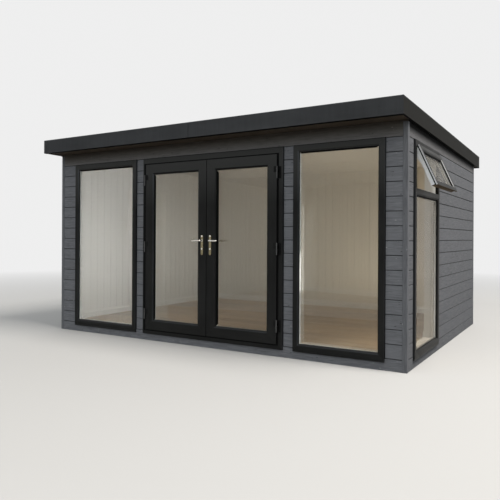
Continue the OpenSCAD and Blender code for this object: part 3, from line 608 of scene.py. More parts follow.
def clad(name, node, half, openings, place):
    """Courses of separate boards on one wall, each with its own tone and a hair's offset."""
    ends = [-half, *(x for low, high in openings for x in (low - SEAL_W, high + SEAL_W)), half]
    work = Work()
    for k in range(COURSES):
        foot = PLINTH_H + k * COURSE_H
        for low, high in zip(ends[::2], ends[1::2]):
            start, end = ((x, rng.uniform(-2 * HAIR, HAIR), foot) for x in (low, high))
            work.bar(BOARD, start, end, Y, Z, finish=groove_faces, place=place)
    work.piece(name, [boards, shaded_groove_board], "grey_boards", node)


def frieze(work, length, top, place, slope=0.0, face=0):
    """The top board of a wall. Its upper edge follows the roof: slope is the rise along the wall."""
    low = COURSE_TOP
    levels = np.array([(0, low + GROOVE_W + 0.0015), (0, top), (BOARD_T, top), (BOARD_T, low + HAIR),
                       (GROOVE_D, low + HAIR), (GROOVE_D, low + GROOVE_W), (0.0006, low + GROOVE_W)])
    rows = np.stack([np.insert(levels, 0, x, axis=1) for x in (-length, length)])
    rows[:, 1:3, 2] += slope * rows[:, 1:3, 0]
    mark = rng.uniform(0, 50)
    x, y, z = np.moveaxis(rows, -1, 0)
    grain = np.stack([x + mark, y + z + mark, 0 * x + mark], -1)
    work.skin(rows, grain, rng.uniform(-1, 1), (face,) * 4 + (1, 1, face), place)


clad("front_boards", "front_cladding", BOARDS_X, (LEFT_WINDOW, DOORWAY, RIGHT_WINDOW), PUT_FRONT)
clad("right_boards", "right_cladding", BOARDS_Y, (SIDE_WINDOW,), PUT_RIGHT)
clad("left_boards", "left_cladding", BOARDS_Y, (), PUT_LEFT)
clad("rear_boards", "rear_cladding", BOARDS_X, (), PUT_REAR)

below = SOFFIT_LOW + 2 * HAIR
work = Work()
frieze(work, BOARDS_X, roof_z(-HALF_Y) - below, PUT_FRONT)
frieze(work, BOARDS_Y, roof_z(0) - below, PUT_RIGHT, -FALL, 2)
frieze(work, BOARDS_X, roof_z(HALF_Y) - below, PUT_REAR)
frieze(work, BOARDS_Y, roof_z(0) - below, PUT_LEFT, FALL, 2)
work.piece("frieze_top_boards", [frieze_board, shaded_groove_board, side_frieze_board], "grey_boards", "frieze_boards")

# Corner trims: an angle in plan, carried up each corner, whose front and rear faces are painted darker as shade
ANGLE_X, ANGLE_Y = HALF_X + CORNER_PROUD, HALF_Y + CORNER_PROUD
ANGLE = rounded([
    (TRIM_X, WALL_Y), (TRIM_X, ANGLE_Y), (ANGLE_X, ANGLE_Y), (ANGLE_X, TRIM_Y), (WALL_X, TRIM_Y), (WALL_X, WALL_Y),
], [0.0002, 0.0018, 0.0030, 0.0018, 0.0002, 0.0002])
work = Work()
for sx in (1, -1):
    for sy in (1, -1):
        top = roof_z(ANGLE_Y if sy > 0 else -TRIM_Y) - below
        work.bar(ANGLE * (sx, sy), (0, 0, 0), (0, 0, top), X, Y, finish=lambda a, b: np.abs(b) > ANGLE_Y - 2 * HAIR)
work.piece("corner_angles", [boards, shaded_corner_board], "grey_boards", "corner_trims")


def finish_node(name, material):
    """A CAD node that keeps its shape takes a finish."""
    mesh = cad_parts[name].data
    mesh.materials.clear()
    mesh.materials.append(material)
    return mesh


finish_node("plinth_boards", plinth_board)
finish_node("floor_base", base_timber)
for name in ("front_wall_posts", "front_wall_header", "left_wall", "right_wall", "right_wall_header", "rear_wall",
             "roof_deck"):
    finish_node(name, timber)

# ---------------------------------------------------------------- roof edge
SOFFIT_BOARD_W, VENT_STRIP = 0.124, 0.065
SOFFIT_V_W, SOFFIT_V_D = 0.0022, 0.0025        # half width and depth of the V between two boards


def soffit_strip(work, low, high, across, finish=0):
    """Flat boards side by side under the overhang, across X (0) or Y (1), with a small V between them."""
    n = max(1, round((high[across] - low[across]) / SOFFIT_BOARD_W))
    w = (high[across] - low[across]) / n
    left, right, top = 0.0001, w - 0.0001, SOFFIT_T - 0.0003
    outline = rounded([(left, SOFFIT_V_D), (SOFFIT_V_W, 0), (w - SOFFIT_V_W, 0), (right, SOFFIT_V_D), (right, top),
                       (left, top)], 0.0001, 1)
    for k in range(n):
        start, end = [*low, -SOFFIT_T], [*high, -SOFFIT_T]
        start[across] = end[across] = low[across] + k * w
        work.bar(outline, start, end, (X, Y)[across], Z, finish=finish)


work = Work()
vent_y = DECK_Y - VENT_STRIP
# The outer strips behind the front and rear fascias and the side soffits take the black: painted shadow
soffit_strip(work, (-DECK_X, -DECK_Y), (DECK_X, -vent_y), 1, 1)
soffit_strip(work, (-DECK_X, -vent_y), (DECK_X, -WALL_Y), 1)
soffit_strip(work, (-DECK_X, WALL_Y), (DECK_X, vent_y), 1)
soffit_strip(work, (-DECK_X, vent_y), (DECK_X, DECK_Y), 1, 1)
soffit_strip(work, (-DECK_X, -WALL_Y + 0.001), (-WALL_X, WALL_Y - 0.001), 0, 1)
soffit_strip(work, (WALL_X, -WALL_Y + 0.001), (DECK_X, WALL_Y - 0.001), 0, 1)
# Trim that closes the joint of wall and soffit, mitred at the corners, brown at front and rear and black at the sides
# as painted shadow
TRIM = oblong(0, -SOFFIT_LOW, SOFFIT_TRIM_OUT, -SOFFIT_T - HAIR, [0.004, 0.0004, 0.0004, 0.002], 3)
work.border(TRIM, WALL_X + SOFFIT_TRIM_OUT, WALL_Y + SOFFIT_TRIM_OUT, 0, (2, 1))
work.piece("soffit_strips", [soffit_paint, shadow_black_paint, front_trim], "soffit_board", "soffit", shear=True)

# Folded fascia lengths: [inward, height] with a rolled foot and a small return at the top
FASCIA_TOP = DECK_T + MEMBRANE_T - HAIR
FASCIA = rounded([
    (0.0010, -FASCIA_DROP + 0.010), (0, -FASCIA_DROP + 0.008), (0, -FASCIA_DROP), (FASCIA_T, -FASCIA_DROP),
    (FASCIA_T, FASCIA_TOP), (0.0010, FASCIA_TOP),
], [0.0005, 0.0005, 0.0018, 0.0004, 0.0004, 0.0016])
# A joint is open by twice JOINT in the middle of a fascia, and a backing strip shows dark in it
JOINT, BACKING = 0.0026, oblong(0.003, -FASCIA_DROP + 0.001, 0.018, FASCIA_TOP - 0.001, 0.0005, 1)


def fascia_length(work, start, end, across, mitre):
    """One folded length, black under its foot as painted shadow."""
    work.bar(FASCIA, (*start, 0), (*end, 0), across, Z, mitre, tone=0, finish=lambda a, b: b < -FASCIA_DROP + 0.0003)


for where, y, across in (("front", -ROOF_Y, Y), ("rear", ROOF_Y, -Y)):
    work = Work()
    fascia_length(work, (-ROOF_X, y), (-JOINT, y), across, (1, 0))
    fascia_length(work, (JOINT, y), (ROOF_X, y), across, (0, 1))
    work.bar(BACKING, (-JOINT + 0.0001, y, 0), (JOINT - 0.0001, y, 0), across, Z, finish=1)
    work.piece(where + "_fascia_lengths", [fascia_metal, rubber], "fascia_metal", where + "_fascia", shear=True)
work = Work()
for x, across in ((-ROOF_X, X), (ROOF_X, -X)):
    fascia_length(work, (x, -ROOF_Y), (x, ROOF_Y), across, (1, 1))
work.piece("side_fascia_lengths", [shaded_side_fascia_metal, rubber], "fascia_metal", "side_fascias", shear=True)

# Folded pieces that cover the two left corners, from COVER_OUT before the fascia's face to COVER_IN
# behind it, and the screws of the front fascia
COVER, COVER_OUT, COVER_IN = 0.046, -0.0011, 0.0006
plan = rounded([
    (COVER_OUT, COVER), (COVER_IN, COVER), (COVER_IN, COVER_IN), (COVER, COVER_IN), (COVER, COVER_OUT),
    (COVER_OUT, COVER_OUT),
], [0.0003, 0.0003, 0.0002, 0.0003, 0.0003, 0.0009], 2)
work = Work()
for y, across in ((-ROOF_Y, Y), (ROOF_Y, -Y)):
    work.bar(plan, (-ROOF_X, y, -FASCIA_DROP - 0.0010), (-ROOF_X, y, FASCIA_TOP), X, across, tone=0)
work.piece("fascia_corner_pieces", [fascia_metal], "fascia_metal", shear=True)


OUT = turn(0, 90)        # lays a profile that is turned about Z down, so that it points to -Y


def screw_head(work, place, r=0.0036, h=0.0012):
    """A low domed head: height h * cos(t), radius r * sin(t), with a black cross laid on it as painted shade of the
    recess.
    """
    t = np.linspace(0.12, math.pi / 2, 5)
    work.turned([(r * math.sin(a), h * math.cos(a)) for a in t] + [(r, -0.001)], place, 14)
    for angle in (0, 90):
        work.bar(oblong(-0.0004, 0, 0.0004, 0.0004), (-r / 2, 0, h * 0.90), (r / 2, 0, h * 0.90), Y, Z,
                 tone=0, finish=1, place=place @ turn(2, angle))


work = Work()
for x in (-1.2, 2.14):
    for z in (0.040, 0.078):
        screw_head(work, move(x, -ROOF_Y, z) @ OUT, 0.0035, 0.0018)
work.piece("fascia_screws", [fascia_metal, rubber], "fascia_metal", shear=True, smooth=50)

# Roof: a welded membrane with laps, and a raised rim folded round its edge. A lap's height is the
# difference of two tanh steps, a steep one up at its edge and a soft one down 60 mm further on.
LAPS, LAP_H, UNDER_RIM = np.array([-1.45, -0.10, 1.25]), 0.0007, 0.004
inner_x, inner_y = ROOF_X - RIM_W + UNDER_RIM, ROOF_Y - RIM_W + UNDER_RIM
near = (LAPS[:, None] + np.linspace(-0.014, 0.014, 9)).ravel()
u = np.unique(np.concatenate([np.linspace(-inner_x, inner_x, 70), near]))
gx, gy = np.meshgrid(u, np.linspace(-inner_y, inner_y, 48), indexing="ij")
lap = sum(LAP_H * (np.tanh((gx - c) / 0.008) - np.tanh((gx - c - 0.06) / 0.040)) for c in LAPS)
swell = 0.0006 * (np.sin(3.1 * gx + 1.3 * gy) + np.sin(5.3 * gy - 1.7 * gx + 0.6)) * np.cos(1.1 * gx)
top = np.stack([gx, gy, DECK_T + MEMBRANE_T - 0.0010 + lap + swell * 0.7], -1)
bottom = np.stack([gx, gy, 0 * gx + DECK_T + 0.0003], -1)
work = Work()
# The slab is skinned as loops round it: along the top and back along the underside
work.skin(np.concatenate([top, bottom[:, ::-1]], axis=1))
RIM = rounded([
    (0, MEMBRANE_T), (0, MEMBRANE_T + RIM_H), (RIM_W, MEMBRANE_T + RIM_H), (RIM_W, 0.0006), (FASCIA_T, 0.0006),
    (FASCIA_T, MEMBRANE_T),
], [0.0008, 0.0026, 0.0030, 0.0004, 0.0003, 0.0003])
work.border(RIM, ROOF_X, ROOF_Y, DECK_T, (1, 1))
work.piece("roof_skin", [membrane, highlit_rim_metal], "membrane", "roof_covering", shear=True, smooth=40)

# ---------------------------------------------------------------- inside
PANEL_W, V_DEPTH, LINING_LOW = 0.1245, 0.0032, LINING_T + 2 * HAIR


def panel_outline(w, v_left, v_right):
    """A lining board in plan: [along the wall, depth], with a chamfer where it meets its neighbour."""
    left = [(0.0001, V_DEPTH), (V_DEPTH, 0)] if v_left else [(0.0, 0)]
    right = [(w - V_DEPTH, 0), (w - 0.0001, V_DEPTH)] if v_right else [(w, 0)]
    return left + right + [(w - 0.0001 * v_right, LINING_T - HAIR), (0.0001 * v_left, LINING_T - HAIR)]


def joint_faces(a, b):
    """The chamfers of a V joint, painted darker as the shade in the joint."""
    return (b > 0.0004) & (b < V_DEPTH - 0.0004)


def panelling(work, low, high, top, slope, place, holes=()):
    """Upright V-jointed boards between low and high, cut round holes given as (x0, x1, foot).

    Boards are split at a hole's sides, where the cut edge shows no joint.
    """
    n = round((high - low) / PANEL_W)
    joints = np.linspace(low, high, n + 1)
    for a, b in zip(joints[:-1], joints[1:]):
        mark, tone = rng.uniform(0, 50), rng.uniform(-1, 1)
        cuts = sorted({a, b, *(x for hole in holes for x in hole[:2] if a < x < b)})
        for c, d in zip(cuts[:-1], cuts[1:]):
            spans, z = [], FLOOR_Z
            for x0, x1, z0 in holes:
                if x0 <= (c + d) / 2 <= x1:
                    if z0 > z:
                        spans.append((z, z0))
                    z = COURSE_TOP - REVEAL_T
            spans.append((z, None))
            outline = panel_outline(d - c, c == a and c > low, d == b and d < high)
            for foot, head in spans:
                rise = slope if head is None else 0
                work.bar(outline, (c, 0, foot), (c, 0, top + slope * c if head is None else head), X, Y, (0, -rise),
                         tone=tone, finish=joint_faces, place=place, grain_at=mark)


def hole(opening, foot):
    """An opening seen from inside, where X runs the other way."""
    return -opening[1] + REVEAL_T, -opening[0] - REVEAL_T, foot


LINING_PAINT, REAR_LINING_PAINT = [white_paint, white_joint], [rear_paint, rear_joint]
work = Work()
panelling(work, -LINED_X, LINED_X, roof_z(LINED_Y) - LINING_LOW - HAIR, 0, move(y=LINED_Y))
work.piece("rear_panelling", REAR_LINING_PAINT, "white_lining", "rear_lining")
work = Work()
panelling(work, -LINED_X, LINED_X, roof_z(-LINED_Y) - LINING_LOW, 0, move(y=-LINED_Y) @ turn(2, 180),
          [hole(LEFT_WINDOW, SILL_TOP), hole(DOORWAY, 0.0), hole(RIGHT_WINDOW, SILL_TOP)])
work.piece("front_panelling", LINING_PAINT, "white_lining", "front_lining")
work = Work()
top = roof_z(0) - LINING_LOW
panelling(work, -ROOM_Y, ROOM_Y, top, -FALL, move(-LINED_X) @ turn(2, 90))
panelling(work, -ROOM_Y, ROOM_Y, top, FALL, move(LINED_X) @ turn(2, -90), [hole(SIDE_WINDOW, SILL_TOP)])
work.piece("side_panelling", LINING_PAINT, "white_lining", "side_linings")

work = Work()
n = round(2 * ROOM_Y / PANEL_W)
w = 2 * ROOM_Y / n
for k in range(n):
    y = -ROOM_Y + k * w
    work.bar(panel_outline(w, k > 0, k < n - 1), (-ROOM_X, y, -LINING_T), (ROOM_X, y, -LINING_T), Y, Z,
             finish=joint_faces)
work.piece("ceiling_panelling", LINING_PAINT, "white_lining", "ceiling_lining", shear=True)

# Skirting: [out of the wall, height] with a torus moulding
SKIRT_T, SKIRT_H = 0.015, 0.095
t = np.linspace(0, math.pi / 2, 7)
SKIRT = np.concatenate([
    [(0, 0), (SKIRT_T, 0), (SKIRT_T, 0.066), (SKIRT_T - 0.003, 0.070)],
    np.column_stack([0.0115 - 0.0075 * np.sin(t), 0.073 + 0.017 * (1 - np.cos(t))]),
    [(0.0035, SKIRT_H - 0.001), (0.0015, SKIRT_H), (0, SKIRT_H)],
])
lx, ly, rise = LINED_X, LINED_Y, FLOOR_TOP + HAIR
work = Work()
for start, end, across, mitre in (
    ((-lx, ly), (lx, ly), -Y, (1, 1)),
    ((-lx, -ly), (-lx, ly), X, (1, 1)),
    ((lx, SIDE_WINDOW[1]), (lx, ly), -X, (0, 1)),
    ((-lx, -ly), (LEFT_WINDOW[0], -ly), Y, (1, 0)),
    ((LEFT_WINDOW[1], -ly), (DOORWAY[0], -ly), Y, (0, 0)),
    ((DOORWAY[1], -ly), (RIGHT_WINDOW[0], -ly), Y, (0, 0)),
    ((RIGHT_WINDOW[1], -ly), (lx, -ly), Y, (0, 0)),
):
    work.bar(SKIRT, (*start, rise), (*end, rise), across, Z, mitre)
work.piece("skirting_mouldings", [white_paint], "white_lining", "skirting_boards")

# Linings of the openings: side boards, head and a deep sill
WALL_IN = BOARD_T + WALL_T
FRAME_BACK = FRAME_D - FRAME_PROUD
AT_SIDE_WINDOW = PUT_RIGHT @ move(SIDE_WINDOW[0])


def reveal(work, opening, foot, place):
    """Boards with eased edges, from the frame to the lining. The doorway alone has no sill."""
    w = opening[1] - opening[0]

    def board(x0, x1, z0, z1):
        work.bar(oblong(x0, FRAME_BACK + HAIR, x1, WALL_IN, 0.0008), (0, 0, z0), (0, 0, z1), X, Y, place=place)
    board(0, REVEAL_T, foot, COURSE_TOP)
    board(w - REVEAL_T, w, foot, COURSE_TOP)
    board(REVEAL_T, w - REVEAL_T, COURSE_TOP - REVEAL_T, COURSE_TOP)
    if opening is not DOORWAY:
        board(REVEAL_T, w - REVEAL_T, BASE_H, SILL_TOP)


work = Work()
for opening in (LEFT_WINDOW, RIGHT_WINDOW):
    reveal(work, opening, BASE_H, PUT_FRONT @ move(opening[0]))
reveal(work, DOORWAY, FLOOR_Z, PUT_FRONT @ move(DOORWAY[0]))
reveal(work, SIDE_WINDOW, BASE_H, AT_SIDE_WINDOW)
work.piece("opening_linings", [white_paint], "white_lining", "window_reveals")

# Floor planks in staggered rows, and one more across the doorway
PLANK_W, PLANK_L, PLANK_ARRIS, SHORTEST = 0.193, 1.285, 0.0022, 0.02
STAGGER = 0.37           # part of a plank's length by which each row is moved along
work = Work()
for k in range(math.ceil(2 * LINED_Y / PLANK_W)):
    y = -LINED_Y + k * PLANK_W
    x = -LINED_X - PLANK_L * ((k * STAGGER) % 1)
    while x < LINED_X:
        x0, x1 = max(x, -LINED_X), min(x + PLANK_L, LINED_X)
        if x1 - x0 > SHORTEST:
            work.plank((x0, y, FLOOR_Z), (x1, min(y + PLANK_W, LINED_Y), FLOOR_TOP), PLANK_ARRIS)
        x += PLANK_L
work.plank((DOORWAY[0] + REVEAL_T, -HALF_Y + FRAME_BACK, FLOOR_Z), (DOORWAY[1] - REVEAL_T, -LINED_Y, FLOOR_TOP),
           PLANK_ARRIS)
work.piece("oak_planks", [oak], "floor_oak", "floor_boards")

# ---------------------------------------------------------------- window and door parts
FRAME_IN, SASH_IN, LEAF_IN = (face + BEAD_W for face in (FRAME_FACE, SASH_FACE, LEAF_FACE))
BEVEL_D = 0.010          # depth of the bead's slope, and of the bevel at the back
# Depth at which a frame's outer side is divided, so that each part can have its own foil
DIVIDE = 0.034
# Depth from which a frame, a sash and a leaf are white
FRAME_WHITE, SASH_WHITE, LEAF_WHITE = 0.0215, 0.0225, 0.0245


def glass_rebate(inner, back):
    """The part of a section [inward, depth] that holds the glass."""
    deep = inner - REBATE_D
    return [(inner, back), (deep, back), (deep, back + GLASS_T), (inner, back + GLASS_T)]


def back_bevel(inner, depth):
    """The part that slopes from the inner side to the back."""
    return [(inner, depth - BEVEL_D), (inner - BEVEL_D, depth)]


REBATE_R, BACK_R = [0.0008, 0.0003, 0.0003, 0.0008], [0.0015, 0.0015]


def frame_section(outer, radius):
    """Section [inward, depth]: face, bead, rebate, bevelled back and divided outer side."""
    return rounded([
        (outer, 0), (FRAME_FACE, 0), (FRAME_IN, BEVEL_D), *glass_rebate(FRAME_IN, GLASS_BACK),
        *back_bevel(FRAME_IN, FRAME_D), (outer, FRAME_D), (outer + 0.0003, DIVIDE),
    ], [radius, 0.0020, 0.0016, *REBATE_R, *BACK_R, 0.0010, 0.0002])


RAIL_STEP = 0.005        # the transom's bar starts this far above where the uprights change
FRAME, TRANSOM_BAR = frame_section(0, 0.0022), frame_section(RAIL_STEP, 0.0020)
OPEN_BAR = rounded([(0, 0), (FRAME_FACE, 0), (FRAME_FACE + 0.0003, DIVIDE), (FRAME_FACE, FRAME_D), (0, FRAME_D),
                    (0.0003, DIVIDE)], [0.0022, 0.0020, 0.0002, 0.0010, 0.0010, 0.0002])
SASH = rounded([
    (0, 0), (SASH_FACE, 0), (SASH_IN, BEVEL_D), *glass_rebate(SASH_IN, GLASS_BACK), (SASH_IN, SASH_D),
    (BODY_IN, SASH_D), (BODY_IN, LIP_T), (0, LIP_T),
], [0.0016, 0.0020, 0.0016, *REBATE_R, 0.0020, 0.0015, 0.0004, 0.0012])


OUTER = 0.0012           # faces of a section nearer than this to its outer side belong to it


def on_bead(a, b, face):
    """Whether a face belongs to the slope inwards of the flat face."""
    return (a > face + 0.0004) & (b < BEVEL_D - HAIR)


def foils(white, face=1.0, edge=None, bead=LIT_BEAD):
    """What each face of a section shows: dark foil, and white from the depth white.

    The outer side has a grey edge, a painted highlight, down to the depth edge, or else to where the white begins, and
    the slope inwards of the flat face, if its width is given, shows the bead finish, by default a painted highlight.
    """
    def pick(a, b):
        number = np.where(b > white, INNER, FACE)
        number[(a < OUTER) & (b > 0.0004) & (b < (white if edge is None else edge))] = LIT_EDGE
        number[on_bead(a, b, face)] = bead
        return number
    return pick


PLAIN, BEADED = foils(FRAME_WHITE), foils(FRAME_WHITE, FRAME_FACE)


def cill(work, w, place):
    """The low bar under a frame, whose top falls a little to the front."""
    outline = rounded([(0, 0), (FRAME_D, 0), (FRAME_D, CILL_H - HAIR), (0.002, CILL_H - 0.0022)],
                      [0.0012, 0.0006, 0.0006, 0.0018])
    work.bar(outline, (HAIR, 0, 0), (w - HAIR, 0, 0), Y, Z, place=place)


PANE_T, SPACER_W = 0.004, 0.0135


def glaze(units, seals, w, h, inner, back, place, lips=(0.0035, 0.0030, 0.0030, 0.0200)):
    """A glazed unit behind the edge inner, and its gaskets.

    The unit has two panes with eased edges, and a metal spacer between them, white at the sides as a painted highlight
    and dark at the foot and head. The rubber on both sides is a slanted lip from the bead to the glass. It is black in
    front, with a lip of its own at the left, right, foot and head, and pale behind. The widest black lips are painted
    shadow.
    """
    edge, behind = inner - REBATE_D + GLASS_GAP, back + GLASS_T
    for near in (back + 2 * HAIR, behind - PANE_T - 2 * HAIR):
        pane = oblong(edge, near, w - edge, near + PANE_T, 0.0005, 1)
        units.bar(pane, (0, 0, edge), (0, 0, h - edge), X, Y, tone=0, place=place)
    spacer = oblong(edge + 0.001, back + PANE_T + 0.0006, edge + SPACER_W, behind - PANE_T - 0.0006)
    # White upright spacers: painted highlight
    units.ring(w, h, spacer, (1, 1, 2, 2), place)

    foot = inner - 0.0006
    front = [rounded([(foot, back - 0.0042), (inner + lip, back + 0.0001), (foot, back + 0.0001)], 0.0003, 2)
             for lip in lips]
    rear = rounded([(foot, behind - 0.0001), (inner + 0.0030, behind - 0.0001), (foot, behind + 0.0040)], 0.0003, 2)
    seals.ring(w, h, tuple(front), place=place)
    seals.ring(w, h, rear, (1, 1, 0, 0), place)


UNIT_PARTS = [glass, lit_spacer_white, spacer_dark]
GASKETS = [rubber, pale_rubber]
frames, units, seals = Work(), Work(), Work()
for low, high in (LEFT_WINDOW, RIGHT_WINDOW):
    w, h = high - low, OPENING_H - CILL_H
    at = PUT_FRONT @ move(low, -FRAME_PROUD, BASE_H)
    cill(frames, w, at)
    at = at @ move(z=CILL_H)
    frames.ring(w, h, FRAME, (BEADED, PLAIN, BEADED, PLAIN), at)
    glaze(units, seals, w, h, FRAME_IN, GLASS_BACK, at)
frames.piece("front_window_profiles", FOILS, "frame_black", "front_window_frames")
units.piece("front_window_units", UNIT_PARTS, "glazing", "front_window_glass")

# Side window: a fixed pane, a transom and the frame of the open vent
AT_SIDE = AT_SIDE_WINDOW @ move(y=-FRAME_PROUD, z=BASE_H)
w = SIDE_WINDOW[1] - SIDE_WINDOW[0]
frames, units = Work(), Work()
cill(frames, w, AT_SIDE)
foot, meet, head = CILL_H, TRANSOM[1], OPENING_H
rail = meet + RAIL_STEP
for outline, start, end, across, mitre in (
    (FRAME, (0, 0, foot), (0, 0, meet), X, (1, 0)),
    (OPEN_BAR, (0, 0, meet), (0, 0, head), X, (0, 1)),
    (FRAME, (w, 0, foot), (w, 0, meet), -X, (1, 0)),
    (OPEN_BAR, (w, 0, meet), (w, 0, head), -X, (0, 1)),
    (FRAME, (0, 0, foot), (w, 0, foot), Z, (1, 1)),
    (OPEN_BAR, (0, 0, head), (w, 0, head), -Z, (1, 1)),
    (TRANSOM_BAR, (FRAME_FACE, 0, rail), (w - FRAME_FACE, 0, rail), -Z, (0, 0)),
):
    # Tone -1 keeps the painted sheen off the side window's bars
    frames.bar(outline, start, end, across, Y, mitre, tone=-1, finish=PLAIN, place=AT_SIDE)
frames.piece("side_window_profiles", FOILS, "frame_black", "side_window_frame")
glaze(units, seals, w, TRANSOM[0] + FRAME_IN - CILL_H, FRAME_IN, GLASS_BACK, AT_SIDE @ move(z=CILL_H))

AT_VENT = AT_SIDE @ move(VENT_IN, -LEAF_PROUD, OPENING_H - VENT_IN) @ turn(0, -VENT_ANGLE) @ move(z=-SASH_H)


def sash_near(a, b):
    """The near upright: dark face, pale grey edge, the lip's pale core with a painted sheen, and white inner side."""
    return np.where(b > SASH_WHITE, INNER, np.where((a < 0.0010) & (b > 0.0010), VENT_EDGE_AND_SHEEN, FACE))


def sash_far(a, b):
    """The far upright: dark face, grey bead as a painted highlight, and white inner side."""
    return np.where(b > SASH_WHITE, INNER, np.where(on_bead(a, b, SASH_FACE), LIT_VENT_BEAD, FACE))


def sash_foot(a, b):
    """The foot: dark face, brown edge as painted shade and reflection, and white inner side."""
    return np.where((a < BODY_IN + 0.001) & (b > 0.0010), VENT_FOOT_SHADE, np.where(b > SASH_WHITE, INNER, FACE))


work = Work()
# Tone -0.6 weakens the painted sheen on the vent
work.ring(SASH_W, SASH_H, SASH, (sash_near, sash_far, sash_foot, PLAIN), AT_VENT, tone=-0.6)
work.piece("open_vent_profiles", FOILS, "frame_black", "vent_sash")
glaze(units, seals, SASH_W, SASH_H, SASH_IN, GLASS_BACK, AT_VENT)
units.piece("side_window_units", [side_glass, *UNIT_PARTS[1:]], "glazing", "side_window_glass")


def lip_seal(deep):
    """Weather seal behind a lip: [inward, depth]."""
    near, far = BODY_IN - 0.0058, BODY_IN - HAIR
    return rounded([(near, LIP_T + 0.0001), (far, LIP_T + 0.0001), (far, LIP_T + deep),
                    (BODY_IN - 0.0040, LIP_T + deep - HAIR)], 0.0008, 2)


seals.ring(SASH_W, SASH_H, lip_seal(0.012), place=AT_VENT)

# Black sealant between the boards' ends and each frame, and a drip strip over its head, which also stand in for the
# shadow in those gaps: painted shadow
DRIP = oblong(-0.011, 0.0003, 0.0055, 0.0070, 0.0006)
for (low, high), place in ((LEFT_WINDOW, PUT_FRONT), (DOORWAY, PUT_FRONT), (RIGHT_WINDOW, PUT_FRONT),
                           (SIDE_WINDOW, PUT_RIGHT)):
    for x in (low - SEAL_W, high):
        seals.bar(oblong(x, 0.0045, x + SEAL_W, BOARD_T, 0.0010), (0, 0, PLINTH_H), (0, 0, COURSE_TOP), X, Y,
                  tone=0, place=place)
    seals.bar(DRIP, (low + 0.001, 0, COURSE_TOP), (high - 0.001, 0, COURSE_TOP), Y, Z, tone=0, place=place)
# Black weather strip on the frame beside the left leaf, and gasket on the frame round both leaves, which also stand in
# for the shadow round the leaves: painted shadow
STRIP_W, SHOW = 0.028, 0.014      # SHOW: how far the gasket shows round the leaves
low, foot = LEFT_LEAF_X - SHOW, LEAF_Z - SHOW
strip = oblong(low - STRIP_W, -FRAME_PROUD - 0.0032, low, -FRAME_PROUD + HAIR, 0.0005)
seals.bar(strip, (0, 0, foot), (0, 0, LEAF_Z + LEAF_H + SHOW), X, Y, tone=0, place=PUT_FRONT)
seals.ring(RIGHT_LEAF_X - LEFT_LEAF_X + 2 * SHOW, LEAF_H + 2 * SHOW, oblong(0, -0.0036, 0.020, HAIR, 0.0005),
           place=PUT_FRONT @ move(low, -FRAME_PROUD, foot))
seals.piece("window_gaskets", GASKETS, "frame_black")

# ---------------------------------------------------------------- doors
DOOR_FACES = (0.068, 0.068, 0.064, 0.080)      # widths at the left, right, foot and head
STOP_W, STOP_GAP = 0.020, 0.006


def jamb(face):
    """Door frame section: a flat face with the leaves' stop behind it."""
    inner, at = face + STOP_W, LEAF_D - LEAF_PROUD + STOP_GAP
    return rounded([(0, 0), (face, 0), (face, at), (inner, at), (inner, FRAME_D), (0, FRAME_D), (0.0003, DIVIDE)],
                   [0.0022, 0.0018, 0.0010, 0.0012, 0.0010, 0.0010, 0.0002])


work = Work()
work.ring(DOORWAY[1] - DOORWAY[0], OPENING_H, tuple(jamb(face) for face in DOOR_FACES), (PLAIN, PLAIN, FACE, PLAIN),
          PUT_FRONT @ move(DOORWAY[0], -FRAME_PROUD, BASE_H), faces=DOOR_FACES)
work.piece("door_frame_profiles", FOILS, "frame_black", "door_frame")

BEVEL = 0.0045           # how far the free edge of a leaf's body slopes back
LIP = rounded([(0, 0), (LEAF_FACE, 0), (LEAF_IN, BEVEL_D), (LEAF_IN, LIP_T), (0, LIP_T)],
              [0.0022, 0.0020, 0.0014, 0.0002, 0.0010])


def leaf_body(front, back):
    """Section behind the lip, whose outer side runs from front to back, both measured inwards."""
    return rounded([(front, LIP_T), (LEAF_IN, LIP_T), *glass_rebate(LEAF_IN, LEAF_GLASS_BACK),
                    *back_bevel(LEAF_IN, LEAF_D), (back, LEAF_D)], [0.0002, 0.0002, *REBATE_R, *BACK_R, 0.0015])


LEAF_BODY, FREE_BODY = leaf_body(BODY_IN, BODY_IN), leaf_body(0.0004, BEVEL)
LEAF_PLAIN, LEAF_BEADED = foils(LEAF_WHITE, edge=0.0), foils(LEAF_WHITE, LEAF_FACE, 0.0)
# The head's bead is black: painted shadow under the head rail
SHADED_HEAD_BEAD = foils(LEAF_WHITE, LEAF_FACE, 0.0, SHADE_BLACK)


def shaded_leaf_edge(a, b):
    """A leaf's upright edge is black behind its arris: painted shadow."""
    number = LEAF_PLAIN(a, b)
    number[(a < OUTER) & (b > 0.0020)] = SHADE_BLACK
    return number


def leaf(side, place, hinge_bead):
    """Lip and body of a leaf. At the free edge the body reaches the edge, so its mitres are not square."""
    work = Work()
    work.ring(LEAF_W, LEAF_H, LIP, (hinge_bead, shaded_leaf_edge, LEAF_BEADED, SHADED_HEAD_BEAD), place)
    free = (LEAF_IN - BEVEL) / (LEAF_IN - BODY_IN)
    start = BODY_IN - BEVEL / free
    reach = LEAF_W - BEVEL + BODY_IN * free
    for outline, low, high, across, mitre in (
        (LEAF_BODY, (0, 0, 0), (0, 0, LEAF_H), X, (1, 1)),
        (FREE_BODY, (LEAF_W, 0, start), (LEAF_W, 0, LEAF_H - start), -X, (1 / free, 1 / free)),
        (LEAF_BODY, (0, 0, 0), (reach, 0, 0), Z, (1, free)),
        (LEAF_BODY, (0, 0, LEAF_H), (reach, 0, LEAF_H), -Z, (1, free)),
    ):
        work.bar(outline, low, high, across, Y, mitre, tone=0, finish=LEAF_PLAIN, place=place)
    work.piece(side + "_leaf_profiles", FOILS, "frame_black", side + "_door_leaf", body=side + "_door")


